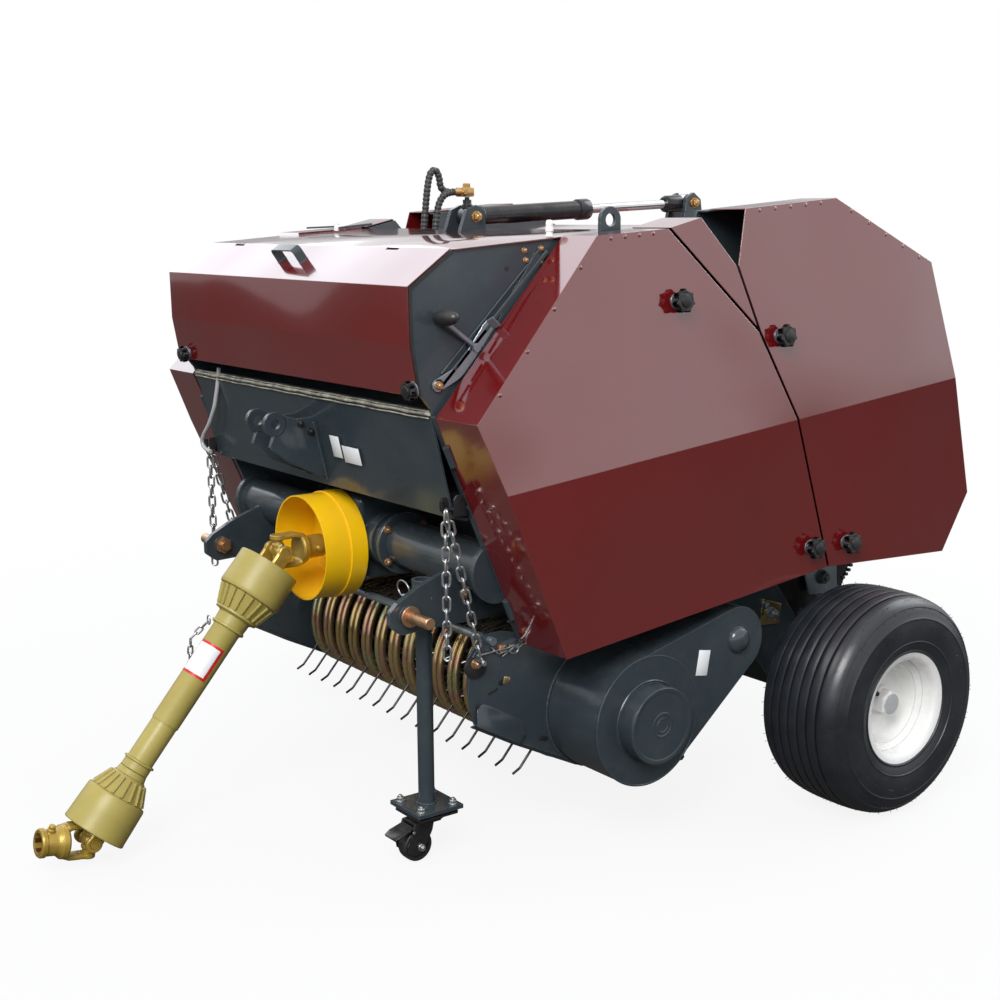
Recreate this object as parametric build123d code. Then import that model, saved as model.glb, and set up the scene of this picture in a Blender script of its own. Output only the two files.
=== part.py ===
from build123d import *
import math
import os

# Small fixed-chamber round baler for a compact tractor, three-point hitched.
# Millimetres. X across the machine, -Y toward the tractor, +Z up, ground at Z 0.
# Everything is drawn about the axle line (Y 0) and centred along Y at the end.
# Side profiles are lists of (Y, Z) corners.

# --- body widths ---------------------------------------------------------
FRAME_IN = 466.0         # side frames, inner face
FRAME_OUT = 474.0        # side frames, outer face
COVER_IN = 484.0         # inner edge of the side covers
FLANGE_OUT = COVER_IN - 5.0  # flanges that stand out from the frame and the gate
GATE_IN = 446.0          # tailgate side plates, inner face
GATE_PLATE = 6.0
CREASE_X = 621.0         # the covers bulge most along their crease
UPPER_LEAN = 0.104       # cover face: inward per millimetre above the crease
LOWER_LEAN = 0.020       # and below it
CREASE_Y0 = -867.0       # a point on the crease line
CREASE_Z0 = 738.0
CREASE_RISE = 0.1013     # the crease climbs to the rear
SHEET = 2.0

# --- body profile, seen from the side ------------------------------------
HOOD_A = (-883.0, 1145.5)
HOOD_B = (-971.0, 1084.0)
HOOD_C = (-970.0, 986.0)
HOOD_D = (-955.0, 898.0)
NOSE = (-924.0, 860.0)
FOOT = (-739.0, 428.0)
SPLIT_LOW = (-64.0, 499.0)
SPLIT_MID = (-173.0, 808.0)
SPLIT_UP = (-265.0, 980.0)
PIVOT = (-316.0, 1106.0)     # the tailgate hangs here
NOTCH = (-399.0, 1194.0)
STEP_TOP = (-481.0, 1175.0)
ROOF_FRONT = (-646.0, 1164.0)
GATE_TOP = (-291.0, 1210.0)
GATE_CREST = (-36.0, 1230.5)
GATE_SHOULDER = (245.0, 1101.0)
GATE_REAR = (381.0, 602.5)
GATE_HEEL = (307.0, 480.0)
ROOF_REAR = (-346.0, 1132.0)
ROOF_BEND = (-404.0, 1170.0)
SPLIT_GAP = 6.0
HINGE_R = 7.0            # hinge knuckles of the side covers
HOOD_HINGE_R = 8.0
HINGE_LEN = 40.0
HINGE_FIT = 0.3
PIVOT_PIN_R = 12.0
ROOF_DROP = 2.0          # the roof lies this far below the body line

# --- running gear --------------------------------------------------------
WHEEL_X = 681.0
AXLE_Z = 228.5
TYRE_R = 228.5
TYRE_W = 211.0
RIM_R = 101.5
SPINDLE_R = 20.0
AXLE_TUBE = 60.0

# --- bale chamber --------------------------------------------------------
CHAMBER = (-120.0, 815.0)
ROLL_PITCH_R = 290.0
ROLL_R = 45.0
FRONT_ROLLS = (140.0, 161.0, 182.0, 203.0, 246.0, 267.0)
GATE_ROLLS = (97.5, 75.0, 52.5, 30.0, 7.5, -15.0, -37.5, -60.0)

# --- hitch ---------------------------------------------------------------
LINK_X = 379.0
LINK_Y = -924.0
LINK_Z = 490.0
LINK_PIN_R = 11.0
LINK_SHANK_R = 10.0      # the pin's shank through its bracket
LINK_BOSS = 14.0         # the bracket's boss stands this far out of its middle
LINK_PIN_OUT = 78.0
LINK_PLATE = 12.0
TOP_X = 36.0
TOP_Y = -998.0
TOP_Z = 808.0
TOP_PLATE = 10.0
TOP_BORE_R = 9.7

# --- drive ---------------------------------------------------------------
TUBE_Y = -782.0
TUBE_Z = 566.0
TUBE_R = 46.0
TUBE_START = 95.0
CUP_Z = 549.0
CUP_Y = -931.0
CUP_R = 106.0
CUP_DEPTH = 93.0
CUP_WALL = 3.0

# --- PTO shaft -----------------------------------------------------------
JOINT_Y = -980.0
PTO_FALL = 49.8          # degrees below level that the parked shaft hangs
PTO_JOINT_GAP = 652.0    # between its two universal joints
PTO_YOKE_RISE = 10.0     # degrees above level of the far yoke
PTO_YOKE_LEN = 96.0
PTO_PIN_R = 8.0
PTO_BORE_R = 17.5
PTO_FAR_Y = JOINT_Y - PTO_JOINT_GAP * math.cos(math.radians(PTO_FALL))
PTO_FAR_Z = CUP_Z - PTO_JOINT_GAP * math.sin(math.radians(PTO_FALL))

# --- pickup --------------------------------------------------------------
REEL_Y = -530.0
REEL_Z = 266.0
BAND_R = 155.0
BAND_W = 40.0
BAND_REAR = -292.0
TINE_COUNT = 16
TINE_PITCH = 56.8
TINE_R = 2.5
TINE_BAR_R = 88.0        # the tine bars go round at this radius
REEL_SHAFT_R = 14.0
PICK_IN = 446.0          # pickup side plates, inner face
PICK_PLATE = 4.0
CASE_OUT = 600.0
CASE_BOSS_OUT = 638.0

# --- parking stand -------------------------------------------------------
STAND_R = 15.5
SLEEVE_R = 21.0
STAND_X = LINK_X - LINK_PLATE / 2 - SLEEVE_R
STAND_Y = -869.0
CASTER_R = 31.0
CASTER_TRAIL = 28.0

# --- ram -----------------------------------------------------------------
RAM_BASE = (-514.0, 1198.0)
RAM_EYE = (101.0, 1227.0)
RAM_BARREL = 323.0
RAM_R = 19.5
ROD_R = 10.0
RAM_PIN_R = 10.0
RAM_EYE_HALF = 14.0
OPEN_GAP = 1.5           # side play between the rod's eye and the stubs of its pin
EAR_IN = 22.0            # ears either side of the ram's eyes
EAR_OUT = 32.0

# --- tow chains and hoses ------------------------------------------------
CHAIN_X = 471.0
CHAIN_TOP = (-897.0, 694.0)
CHAIN_FOOT = (-825.0, 405.0)
CHAIN_FREE_END = 420.0
CHAIN_R = 5.0
HOSE_R = 6.5
HOSE_X = 7.0

CLEAR = 0.06             # radial clearance of pins that turn

PARTS = {}


# ================================================================ helpers
def add(name, shape):
    PARTS[name] = shape


def mirrored(shape):
    return mirror(shape, about=Plane.YZ)


def both(name, shape):
    add(name + "_right", shape)
    add(name + "_left", mirrored(shape))


def several(name, shapes):
    # like pieces on one body, as separate solids of one node
    solids = []
    for shape in shapes:
        solids.extend(shape.solids())
    add(name, Compound(solids))


def pair(name, shape):
    several(name, [shape, mirrored(shape)])


def slab(x0, x1, y0, y1, z0, z1):
    return Pos((x0 + x1) / 2, (y0 + y1) / 2, (z0 + z1) / 2) * Box(x1 - x0, y1 - y0, z1 - z0)


def rod_x(radius, x0, x1, y, z):
    return Pos((x0 + x1) / 2, y, z) * Rot(0, 90, 0) * Cylinder(radius, x1 - x0)


def rod_y(radius, y0, y1, x, z):
    return Pos(x, (y0 + y1) / 2, z) * Rot(90, 0, 0) * Cylinder(radius, y1 - y0)


def rod_z(radius, z0, z1, x, y):
    return Pos(x, y, (z0 + z1) / 2) * Cylinder(radius, z1 - z0)


def tube_x(outer, inner, x0, x1, y, z):
    return rod_x(outer, x0, x1, y, z) - rod_x(inner, x0 - 1, x1 + 1, y, z)


def bar_between(radius, start, end):
    # round bar between two (X, Y, Z) points
    a, b = Vector(*start), Vector(*end)
    plane = Plane(origin=(a + b) / 2, z_dir=b - a)
    return plane * Cylinder(radius, (b - a).length)


def plate_x(points, x0, x1):
    face = Plane.YZ * make_face(Polyline(*points, close=True))
    return Pos(x0, 0, 0) * extrude(face, amount=x1 - x0, dir=(1, 0, 0))


def rounded_x(points, radius, x0, x1):
    # plate in the YZ plane with rounded corners
    face = Plane.YZ * make_face(FilletPolyline(*points, radius=radius, close=True))
    return Pos(x0, 0, 0) * extrude(face, amount=x1 - x0, dir=(1, 0, 0))


def inset(points, amounts):
    # the polygon with each edge moved inward by its own amount (negative: outward)
    count = len(points)
    area = 0.0
    for i in range(count):
        a, b = points[i], points[(i + 1) % count]
        area += a[0] * b[1] - b[0] * a[1]
    turn = 1.0 if area > 0 else -1.0
    lines = []
    for i in range(count):
        a, b = points[i], points[(i + 1) % count]
        length = math.hypot(b[0] - a[0], b[1] - a[1])
        dy, dz = (b[0] - a[0]) / length, (b[1] - a[1]) / length
        lines.append((a[0] - dz * turn * amounts[i], a[1] + dy * turn * amounts[i], dy, dz))
    result = []
    for i in range(count):
        p, q = lines[i - 1], lines[i]
        cross = p[2] * q[3] - p[3] * q[2]
        t = ((q[0] - p[0]) * q[3] - (q[1] - p[1]) * q[2]) / cross
        result.append((p[0] + p[2] * t, p[1] + p[3] * t))
    return result


def beside(points, thickness):
    # an open line of points moved sideways, to its left, by a thickness
    moved = []
    count = len(points)
    for i in range(count):
        normals = []
        for j in (i - 1, i):
            if 0 <= j < count - 1:
                a, b = points[j], points[j + 1]
                length = math.hypot(b[0] - a[0], b[1] - a[1])
                normals.append((-(b[1] - a[1]) / length, (b[0] - a[0]) / length))
        ny = sum(n[0] for n in normals) / len(normals)
        nz = sum(n[1] for n in normals) / len(normals)
        scale = thickness / (ny * ny + nz * nz)
        moved.append((points[i][0] + ny * scale, points[i][1] + nz * scale))
    return moved


def sheet_x(points, thickness, x0, x1):
    # bent sheet metal: the line of points given a thickness to its left
    return plate_x(list(points) + beside(points, thickness)[::-1], x0, x1)


def beyond(origin, normal):
    # everything on the far side of a plane
    return Plane(origin=origin, z_dir=normal) * (Pos(0, 0, 500) * Box(3000, 3000, 1000))


def bulged(points, x0, depth):
    # cover block between x0 and the two leaning outer planes, moved in by depth
    body = plate_x(points, x0, CREASE_X + 30)
    origin = (CREASE_X - depth, CREASE_Y0, CREASE_Z0)
    upper = (1.0, -UPPER_LEAN * CREASE_RISE, UPPER_LEAN)
    lower = (1.0, LOWER_LEAN * CREASE_RISE, -LOWER_LEAN)
    return body - beyond(origin, upper) - beyond(origin, lower)


def shell(points, walls, x0):
    # folded sheet cover, open toward the frame; walls: 1 for a flanged edge, 0 for an open one
    depths = [SHEET if wall else -9.0 for wall in walls]
    return bulged(points, x0, 0) - bulged(inset(points, depths), x0 - 5, SHEET)


def swept(section_r, points, bend_r, x):
    # round bar or hose that follows (Y, Z) points at one X, its corners rounded
    side = Plane(origin=(x, 0, 0), x_dir=(0, 1, 0), z_dir=(1, 0, 0))
    path = side * FilletPolyline(*points, radius=bend_r)
    start = Plane(origin=path @ 0, z_dir=path % 0)
    return sweep(start * Circle(section_r), path=path)


def between(a, b, share):
    return (a[0] + (b[0] - a[0]) * share, a[1] + (b[1] - a[1]) * share)


def knuckles(a, b, grow=0.0):
    # two hinge knuckles on the line from a to b, at the inner edge of a cover
    length = math.hypot(b[0] - a[0], b[1] - a[1])
    reach = (HINGE_LEN / 2 + grow) / length
    pair_of = []
    for share in (0.16, 0.84):
        start, end = between(a, b, share - reach), between(a, b, share + reach)
        pair_of.append(bar_between(HINGE_R + grow, (COVER_IN, *start), (COVER_IN, *end)))
    return pair_of


def turned(shape, y, z, degrees):
    # turned about an axis along X through (y, z)
    return Pos(0, y, z) * Rot(degrees, 0, 0) * Pos(0, -y, -z) * shape


# ================================================================ fixed frame
def side_frame():
    body = [HOOD_A, HOOD_B, HOOD_C, HOOD_D, NOSE, FOOT, SPLIT_LOW, SPLIT_MID, SPLIT_UP, PIVOT,
            NOTCH, STEP_TOP, ROOF_FRONT]
    back = [8, 8, 8, 8, 4, 24, 12, 12, 1, 1, 4, 4, 4]
    plate = plate_x(inset(body, back), FRAME_IN, FRAME_OUT)
    front_edge = beside([NOSE, FOOT], 1.0)
    plate = plate + sheet_x(front_edge, 4.0, FRAME_IN, FLANGE_OUT)
    plate = plate + rod_x(24.0, FRAME_IN - 6, FRAME_OUT + 5, *PIVOT)
    plate = plate - rod_x(PIVOT_PIN_R + CLEAR, FRAME_IN - 20, FRAME_OUT + 20, *PIVOT)
    rail = sheet_x([(-702.0, 1136.0), (-884.0, 886.0)], 22.0, FRAME_OUT, FLANGE_OUT)
    hook = rod_y(4.0, CHAIN_TOP[0] - 6, CHAIN_TOP[0] + 50, CHAIN_X, CHAIN_TOP[1])
    return plate + rail + hook + knuckles(NOSE, FOOT)


both("side_frame", side_frame())

ROOF_LINE = beside([STEP_TOP, ROOF_FRONT, between(ROOF_FRONT, HOOD_A, 0.97)], ROOF_DROP)
roof = sheet_x(ROOF_LINE, SHEET, -FLANGE_OUT, FLANGE_OUT)
roof = roof + sheet_x([ROOF_REAR, ROOF_BEND, ROOF_LINE[0]], SHEET, -FRAME_IN, FRAME_IN)
for side in (-1, 1):
    roof = roof + Pos(side * 300, 0, 0) * rod_x(HOOD_HINGE_R, -HINGE_LEN / 2, HINGE_LEN / 2, *HOOD_A)
add("roof", roof)


def above_roof(shape):
    # what stands on the roof is cut off along its upper face
    below = [ROOF_LINE[0], ROOF_LINE[1], (ROOF_LINE[1][0], 1000.0), (ROOF_LINE[0][0], 1000.0)]
    return shape - plate_x(below, -FRAME_OUT - 10, FRAME_OUT + 10)


BOX_LINE = [(-705.0, 1154.0), (-705.0, 900.0), (-899.0, 868.0)]
add("twine_box", sheet_x(BOX_LINE, SHEET, -FRAME_IN, FRAME_IN))

PLATE_LINE = [(-899.0, 866.0), (-923.0, 862.0), (-879.0, 676.0), (-846.0, 668.0)]
add("front_plate", sheet_x(PLATE_LINE, 5.0, -FRAME_IN, FRAME_IN))

ear_line = [(-1022.0, 822.0), (-1000.0, 836.0), (-880.0, 806.0), (-850.0, 690.0), (-905.0, 700.0),
            (-968.0, 728.0), (-1020.0, 780.0)]
ear = rounded_x(ear_line, 9.0, TOP_X - TOP_PLATE / 2, TOP_X + TOP_PLATE / 2)
ear = ear - rod_x(TOP_BORE_R, TOP_X - 20, TOP_X + 20, TOP_Y, TOP_Z)
behind_plate = plate_x([PLATE_LINE[1], PLATE_LINE[2], (-700.0, 676.0), (-700.0, 862.0)], TOP_X - 20, TOP_X + 20)
ear = ear - behind_plate - slab(TOP_X - 20, TOP_X + 20, -900, -700, 600, 690)
pair("top_link_ears", ear)

# ---------------------------------------------------------------- lower hitch
bracket_line = [(-962.0, 500.0), (-944.0, 516.0), (-896.0, 541.0), (-783.0, 582.0), (-694.0, 582.0),
                (-694.0, 456.0), (-863.0, 458.0), (-938.0, 455.0), (-962.0, 474.0)]
bracket = rounded_x(bracket_line, 9.0, LINK_X - LINK_PLATE / 2, LINK_X + LINK_PLATE / 2)
bracket = bracket - rod_x(TUBE_R, LINK_X - 20, LINK_X + 20, TUBE_Y, TUBE_Z)
bracket = bracket + rod_x(19.0, LINK_X - 10, LINK_X + LINK_BOSS, LINK_Y, LINK_Z)
bracket = bracket - rod_x(LINK_SHANK_R, LINK_X - 20, LINK_X + 20, LINK_Y, LINK_Z)
BEAM_Y = (-694.0, -644.0)
BEAM_Z = (470.0, 520.0)
beam = slab(-FRAME_IN, FRAME_IN, *BEAM_Y, *BEAM_Z)
beam = beam - slab(-FRAME_IN - 1, FRAME_IN + 1, BEAM_Y[0] + 4, BEAM_Y[1] - 4, BEAM_Z[0] + 4, BEAM_Z[1] - 4)
sleeve = rod_z(SLEEVE_R, 462, 544, STAND_X, STAND_Y)
sleeve = sleeve + slab(STAND_X, LINK_X, STAND_Y - 10, STAND_Y + 10, 468, 536)
sleeve = sleeve - rod_z(STAND_R + CLEAR, 450, 560, STAND_X, STAND_Y)
add("hitch_frame", beam + bracket + mirrored(bracket) + sleeve)

pin = rod_x(LINK_SHANK_R, LINK_X - 28, LINK_X + LINK_BOSS, LINK_Y, LINK_Z)
pin = pin + rod_x(LINK_PIN_R, LINK_X + LINK_BOSS, LINK_X + LINK_PIN_OUT, LINK_Y, LINK_Z)
pin = pin + Pos(LINK_X - 18, LINK_Y, LINK_Z) * Rot(0, 90, 0) * extrude(RegularPolygon(19, 6), amount=8)
pair("link_pins", pin)

# ---------------------------------------------------------------- drive line
CUP_REAR = CUP_Y + CUP_DEPTH
STUB_FRONT = -924.0      # front end of the gearbox's input stub
gearbox = fillet(slab(-78, 78, CUP_REAR, -700, 480, 652).edges(), 12.0)
gearbox = gearbox + rod_x(50.0, -TUBE_START, TUBE_START, TUBE_Y, TUBE_Z)
gearbox = gearbox + rod_y(34.0, CUP_REAR - 12, CUP_REAR, 0, CUP_Z)
gearbox = gearbox + rod_y(17.0, STUB_FRONT, CUP_REAR, 0, CUP_Z)
add("gearbox", gearbox)

tube = tube_x(TUBE_R, TUBE_R - 5, TUBE_START, FRAME_IN, TUBE_Y, TUBE_Z)
tube = tube + tube_x(55.0, TUBE_R - 5, TUBE_START, TUBE_START + 24, TUBE_Y, TUBE_Z)
tube = tube + tube_x(58.0, TUBE_R - 5, FRAME_IN - 8, FRAME_IN, TUBE_Y, TUBE_Z)
pair("drive_tubes", tube)

CUP_STEP = 60.0          # depth of the cup's front ring
cup = rod_y(CUP_R, CUP_Y, CUP_Y + CUP_STEP, 0, CUP_Z)
cup = cup + rod_y(CUP_R + 3, CUP_Y + CUP_STEP - 3, CUP_REAR, 0, CUP_Z)
cup = cup - rod_y(CUP_R - CUP_WALL, CUP_Y - 1, CUP_REAR - CUP_WALL, 0, CUP_Z)
cup = cup - rod_y(35.0, CUP_Y, CUP_REAR + 1, 0, CUP_Z)
add("pto_cup", cup)

# ---------------------------------------------------------------- PTO shaft
YOKE_IN = 24.0           # yoke arms lie from here
YOKE_OUT = 34.0          # to here, either side of the shaft's axis
YOKE_NECK = 44.0         # from the joint to the yoke's solid disc
YOKE_DISC = 12.0
TUBE_FIT = 0.1           # radial clearance of the two telescoping tubes
PTO_TUBE_R = 15.0


def on_shaft(shape):
    # a shape drawn along +Z from the near joint is laid along the hanging shaft
    return Pos(0, JOINT_Y, CUP_Z) * Rot(90.0 + PTO_FALL, 0, 0) * shape


def column(radius, z0, z1):
    return rod_z(radius, z0, z1, 0, 0)


def turned_ring(outer, inner):
    # revolved shell between two lines of (radius, Z) points
    points = [(r, 0, z) for r, z in outer + inner[::-1]]
    return revolve(make_face(Polyline(*points, close=True)), Axis.Z, 360)


def yoke(length, bore_r, hub_r):
    # yoke drawn along +Z from its joint, arms on the X axis
    neck = YOKE_NECK + YOKE_DISC
    part = column(hub_r + 8, YOKE_NECK, neck) + column(hub_r, YOKE_NECK, length)
    for side in (-1, 1):
        part = part + Pos(side * (YOKE_IN + YOKE_OUT) / 2, 0, 19.5) * Box(YOKE_OUT - YOKE_IN, 30, 61)
        part = part - Pos(side * (YOKE_IN + YOKE_OUT) / 2, 0, 0) * Rot(0, 90, 0) * Cylinder(PTO_PIN_R + CLEAR, 20)
    if bore_r:
        part = part - column(bore_r, neck, length + 1)
    return part


def cross_pins():
    part = Rot(0, 90, 0) * Cylinder(PTO_PIN_R, 2 * YOKE_OUT) + Rot(90, 0, 0) * Cylinder(PTO_PIN_R, 2 * YOKE_OUT)
    return part + Box(24, 24, 24)


near_length = STUB_FRONT - JOINT_Y + YOKE_NECK
add("pto_yoke_near", Pos(0, JOINT_Y, CUP_Z) * Rot(-90, 0, 0) * Rot(0, 0, 90) * yoke(near_length, 17.0, 22.0))
add("pto_cross_near", Pos(0, JOINT_Y, CUP_Z) * Rot(90, 0, 0) * cross_pins())

outer_tube = yoke(70.0, 0, 22.0) + column(20.0, 60, 392) - column(PTO_TUBE_R + TUBE_FIT, 160, 400)
add("pto_tube_outer", on_shaft(outer_tube))
guard = turned_ring([(63.0, 32), (64.7, 108), (42.0, 152), (27.7, 156), (27.7, 398)],
                    [(60.0, 32), (61.7, 107), (40.0, 149), (25.2, 153), (25.2, 398)])
guard = guard + column(26.0, 158, 166) - column(20.0, 157, 167)
add("pto_guard_outer", on_shaft(guard))

inner_yoke = Pos(0, 0, PTO_JOINT_GAP) * Rot(180, 0, 0) * yoke(62.0, 0, 20.0)
add("pto_tube_inner", on_shaft(column(PTO_TUBE_R, 230, PTO_JOINT_GAP - YOKE_NECK) + inner_yoke))
guard = turned_ring([(23.7, 330), (23.7, 480), (35.5, 484), (35.5, 517), (59.0, 556), (63.4, 635)],
                    [(21.7, 330), (21.7, 482.5), (32.8, 486.5), (32.8, 519), (56.2, 558), (60.4, 635)])
guard = guard + column(33.5, 490, 498) - column(PTO_TUBE_R, 489, 499)
add("pto_guard_inner", on_shaft(guard))

far_joint = Pos(0, PTO_FAR_Y, PTO_FAR_Z) * Rot(90.0 - PTO_YOKE_RISE, 0, 0)
add("pto_cross_far", far_joint * cross_pins())
add("pto_yoke_far", far_joint * Rot(0, 0, 90) * yoke(PTO_YOKE_LEN, PTO_BORE_R, 24.0))

# ================================================================ covers
HOOD_HALF = 476.0
hood = sheet_x([HOOD_A, HOOD_B, HOOD_C, HOOD_D], SHEET, -HOOD_HALF, HOOD_HALF)
hinge_half = HINGE_LEN / 2 + HINGE_FIT
for side in (-1, 1):
    hood = hood - Pos(side * 300, 0, 0) * rod_x(HOOD_HINGE_R + HINGE_FIT, -hinge_half, hinge_half, *HOOD_A)
add("hood", hood)

front_cover_line = [ROOF_FRONT, NOSE, FOOT, SPLIT_LOW, SPLIT_MID, SPLIT_UP, STEP_TOP]
front_cover = shell(front_cover_line, [1, 1, 1, 0, 0, 0, 1], COVER_IN)
both("front_cover", front_cover - knuckles(NOSE, FOOT, HINGE_FIT))

wedge_line = inset([STEP_TOP, SPLIT_UP, PIVOT, NOTCH], [SPLIT_GAP, 0, 0, 0])
wedge = shell(wedge_line, [0, 1, 1, 1], FRAME_OUT) - rod_x(32.0, FRAME_OUT - 10, COVER_IN + 4, *PIVOT)
pair("cover_wedges", wedge)

gate_line = [GATE_TOP, PIVOT, SPLIT_UP, SPLIT_MID, SPLIT_LOW, GATE_HEEL, GATE_REAR, GATE_SHOULDER, GATE_CREST]
gate_gaps = [SPLIT_GAP, SPLIT_GAP, SPLIT_GAP, SPLIT_GAP, 0, 0, 0, 0, 0]
gate_cover = shell(inset(gate_line, gate_gaps), [0, 0, 0, 0, 1, 1, 1, 1, 1], COVER_IN)
both("gate_cover", gate_cover - knuckles(GATE_REAR, GATE_SHOULDER, HINGE_FIT))

# ================================================================ tailgate
GATE_BACK = 3.0          # the gate's steel lies this far inside its covers
gate_steel = inset(gate_line, [GATE_BACK] * len(gate_line))
gate_side = plate_x(gate_steel, GATE_IN, GATE_IN + GATE_PLATE) + rod_x(28.0, GATE_IN, GATE_IN + GATE_PLATE, *PIVOT)
gate_side = gate_side + rod_x(PIVOT_PIN_R, GATE_IN, FLANGE_OUT, *PIVOT)
flange_line = [gate_steel[0], gate_steel[8], gate_steel[7], gate_steel[6], gate_steel[5],
               between(gate_steel[5], gate_steel[4], 0.9)]
gate_side = gate_side + sheet_x(flange_line, -GATE_BACK, GATE_IN, FLANGE_OUT) + knuckles(GATE_REAR, GATE_SHOULDER)
pair("gate_sides", gate_side)

SHELL_LINE = [(-300.0, 1128.0), (-286.0, 1158.0), (-40.0, 1178.0), (222.0, 1090.0), (372.0, 602.0),
              (301.0, 487.0), (180.0, 492.0)]
add("gate_shell", sheet_x(SHELL_LINE, -SHEET, -GATE_IN, GATE_IN))

lug_foot = [between(SHELL_LINE[2], SHELL_LINE[3], share) for share in (0.38, 0.69)]
lug = plate_x(lug_foot + [(122.0, 1235.0), (101.0, 1250.0), (80.0, 1240.0)], EAR_IN, EAR_OUT)
# the ram's linkage opens at this pivot, so the pin stops short of the eye on both sides
lug_pin = rod_x(RAM_PIN_R, RAM_EYE_HALF + OPEN_GAP, EAR_OUT, *RAM_EYE)
pair("gate_lug", lug + lug_pin)


# ---------------------------------------------------------------- chamber rollers
def roller(degrees, reach):
    y = CHAMBER[0] + ROLL_PITCH_R * math.cos(math.radians(degrees))
    z = CHAMBER[1] + ROLL_PITCH_R * math.sin(math.radians(degrees))
    body = rod_x(ROLL_R, 8 - reach, reach - 8, y, z) - rod_x(ROLL_R - 4, 12 - reach, reach - 12, y, z)
    return body + rod_x(12.0, -reach, reach, y, z)


several("front_rollers", [roller(angle, FRAME_IN) for angle in FRONT_ROLLS])
several("gate_rollers", [roller(angle, GATE_IN) for angle in GATE_ROLLS])

# ---------------------------------------------------------------- ram
RAM_LENGTH = math.hypot(RAM_EYE[0] - RAM_BASE[0], RAM_EYE[1] - RAM_BASE[1])
RAM_LEAN = math.degrees(math.atan2(RAM_EYE[1] - RAM_BASE[1], RAM_EYE[0] - RAM_BASE[0]))
ROD_START = 240.0        # inner end of the rod, from the base pin
GLAND = 20.0


def on_ram(shape):
    # a shape drawn along +Y from the base pin is laid along the ram
    return Pos(0, *RAM_BASE) * Rot(RAM_LEAN, 0, 0) * shape


barrel = rod_x(18.0, -RAM_EYE_HALF, RAM_EYE_HALF, 0, 0) + rod_y(13.0, 0, 26, 0, 0)
barrel = barrel + rod_y(RAM_R, 24, RAM_BARREL, 0, 0) + rod_y(RAM_R + 2, RAM_BARREL - GLAND, RAM_BARREL, 0, 0)
barrel = barrel - rod_y(RAM_R - 4.5, 50, RAM_BARREL - GLAND, 0, 0)
barrel = barrel - rod_y(ROD_R + CLEAR, RAM_BARREL - GLAND - 1, RAM_BARREL + 1, 0, 0)
barrel = barrel - rod_x(RAM_PIN_R + CLEAR, -20, 20, 0, 0)
add("cylinder_barrel", on_ram(barrel))

rod = rod_y(ROD_R, ROD_START, RAM_LENGTH, 0, 0) + rod_x(20.0, -RAM_EYE_HALF, RAM_EYE_HALF, RAM_LENGTH, 0)
add("cylinder_rod", on_ram(rod))

ram_ear = plate_x([(-560.0, 1150.0), (-486.0, 1150.0), (-494.0, 1212.0), (-514.0, 1222.0), (-538.0, 1212.0)],
                  EAR_IN, EAR_OUT)
ram_ears = ram_ear + mirrored(ram_ear) + rod_x(RAM_PIN_R, -EAR_OUT, EAR_OUT, *RAM_BASE)
add("cylinder_mount", above_roof(ram_ears))

# one hose loops up before it dives, the other leaves flat: (Y, Z) points, bend radius
STUB_Y = RAM_BASE[0] - 12
HOSE_Z = 1241.0
HOSES = [
    (-HOSE_X, [(STUB_Y, HOSE_Z), (-574.0, HOSE_Z), (-574.0, 1290.0), (-600.0, 1290.0), (-628.0, 1150.0)], 12.0),
    (HOSE_X, [(STUB_Y, HOSE_Z), (-570.0, 1238.0), (-606.0, 1150.0)], 20.0),
]
hoses = []
for x, points, bend in HOSES:
    stub = rod_z(5.0, 1215.5, HOSE_Z, x, STUB_Y)
    hoses.append(above_roof(swept(HOSE_R, points, bend, x)) + stub)
several("hoses", hoses)

# ================================================================ running gear
carrier_line = [(-45.0, 190.0), (45.0, 190.0), (45.0, 290.0), (-110.0, 500.0), (-130.0, 590.0),
                (-240.0, 600.0), (-240.0, 445.0)]
half_tube = AXLE_TUBE / 2
axle = slab(-560, 560, -half_tube, half_tube, AXLE_Z - half_tube, AXLE_Z + half_tube)
carrier = plate_x(carrier_line, FRAME_OUT, FLANGE_OUT)
spindle = rod_x(SPINDLE_R, 555, 740, 0, AXLE_Z)
axle = axle + carrier + mirrored(carrier) + spindle + mirrored(spindle)
axle = axle - slab(-555, 555, 6 - half_tube, half_tube - 6, AXLE_Z - half_tube + 6, AXLE_Z + half_tube - 6)
add("axle", axle)


def turned_wheel(section):
    # revolves an outline of (radius, offset along the axle) about the wheel's axis
    face = make_face(Polyline(*[(r, 0, x) for r, x in section], close=True))
    return Pos(WHEEL_X, 0, AXLE_Z) * Rot(0, 90, 0) * revolve(face, Axis.Z, 360)


half = TYRE_W / 2
lip = half - 10.0        # outer face of the rim's flange
half_tyre = [(RIM_R + 2, lip - 12), (RIM_R + 26, half - 12), (RIM_R + 62, half - 1), (TYRE_R - 34, half - 1),
             (TYRE_R - 12, half - 16), (TYRE_R, half - 44)]
half_inside = [(RIM_R + 2, lip - 24), (RIM_R + 30, half - 24), (RIM_R + 62, half - 12),
               (TYRE_R - 36, half - 12), (TYRE_R - 16, half - 46)]
tyre_section = half_tyre + [(r, -x) for r, x in half_tyre[::-1]]
tyre_section = tyre_section + [(r, -x) for r, x in half_inside] + half_inside[::-1]
both("tyre", turned_wheel(tyre_section))

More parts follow.
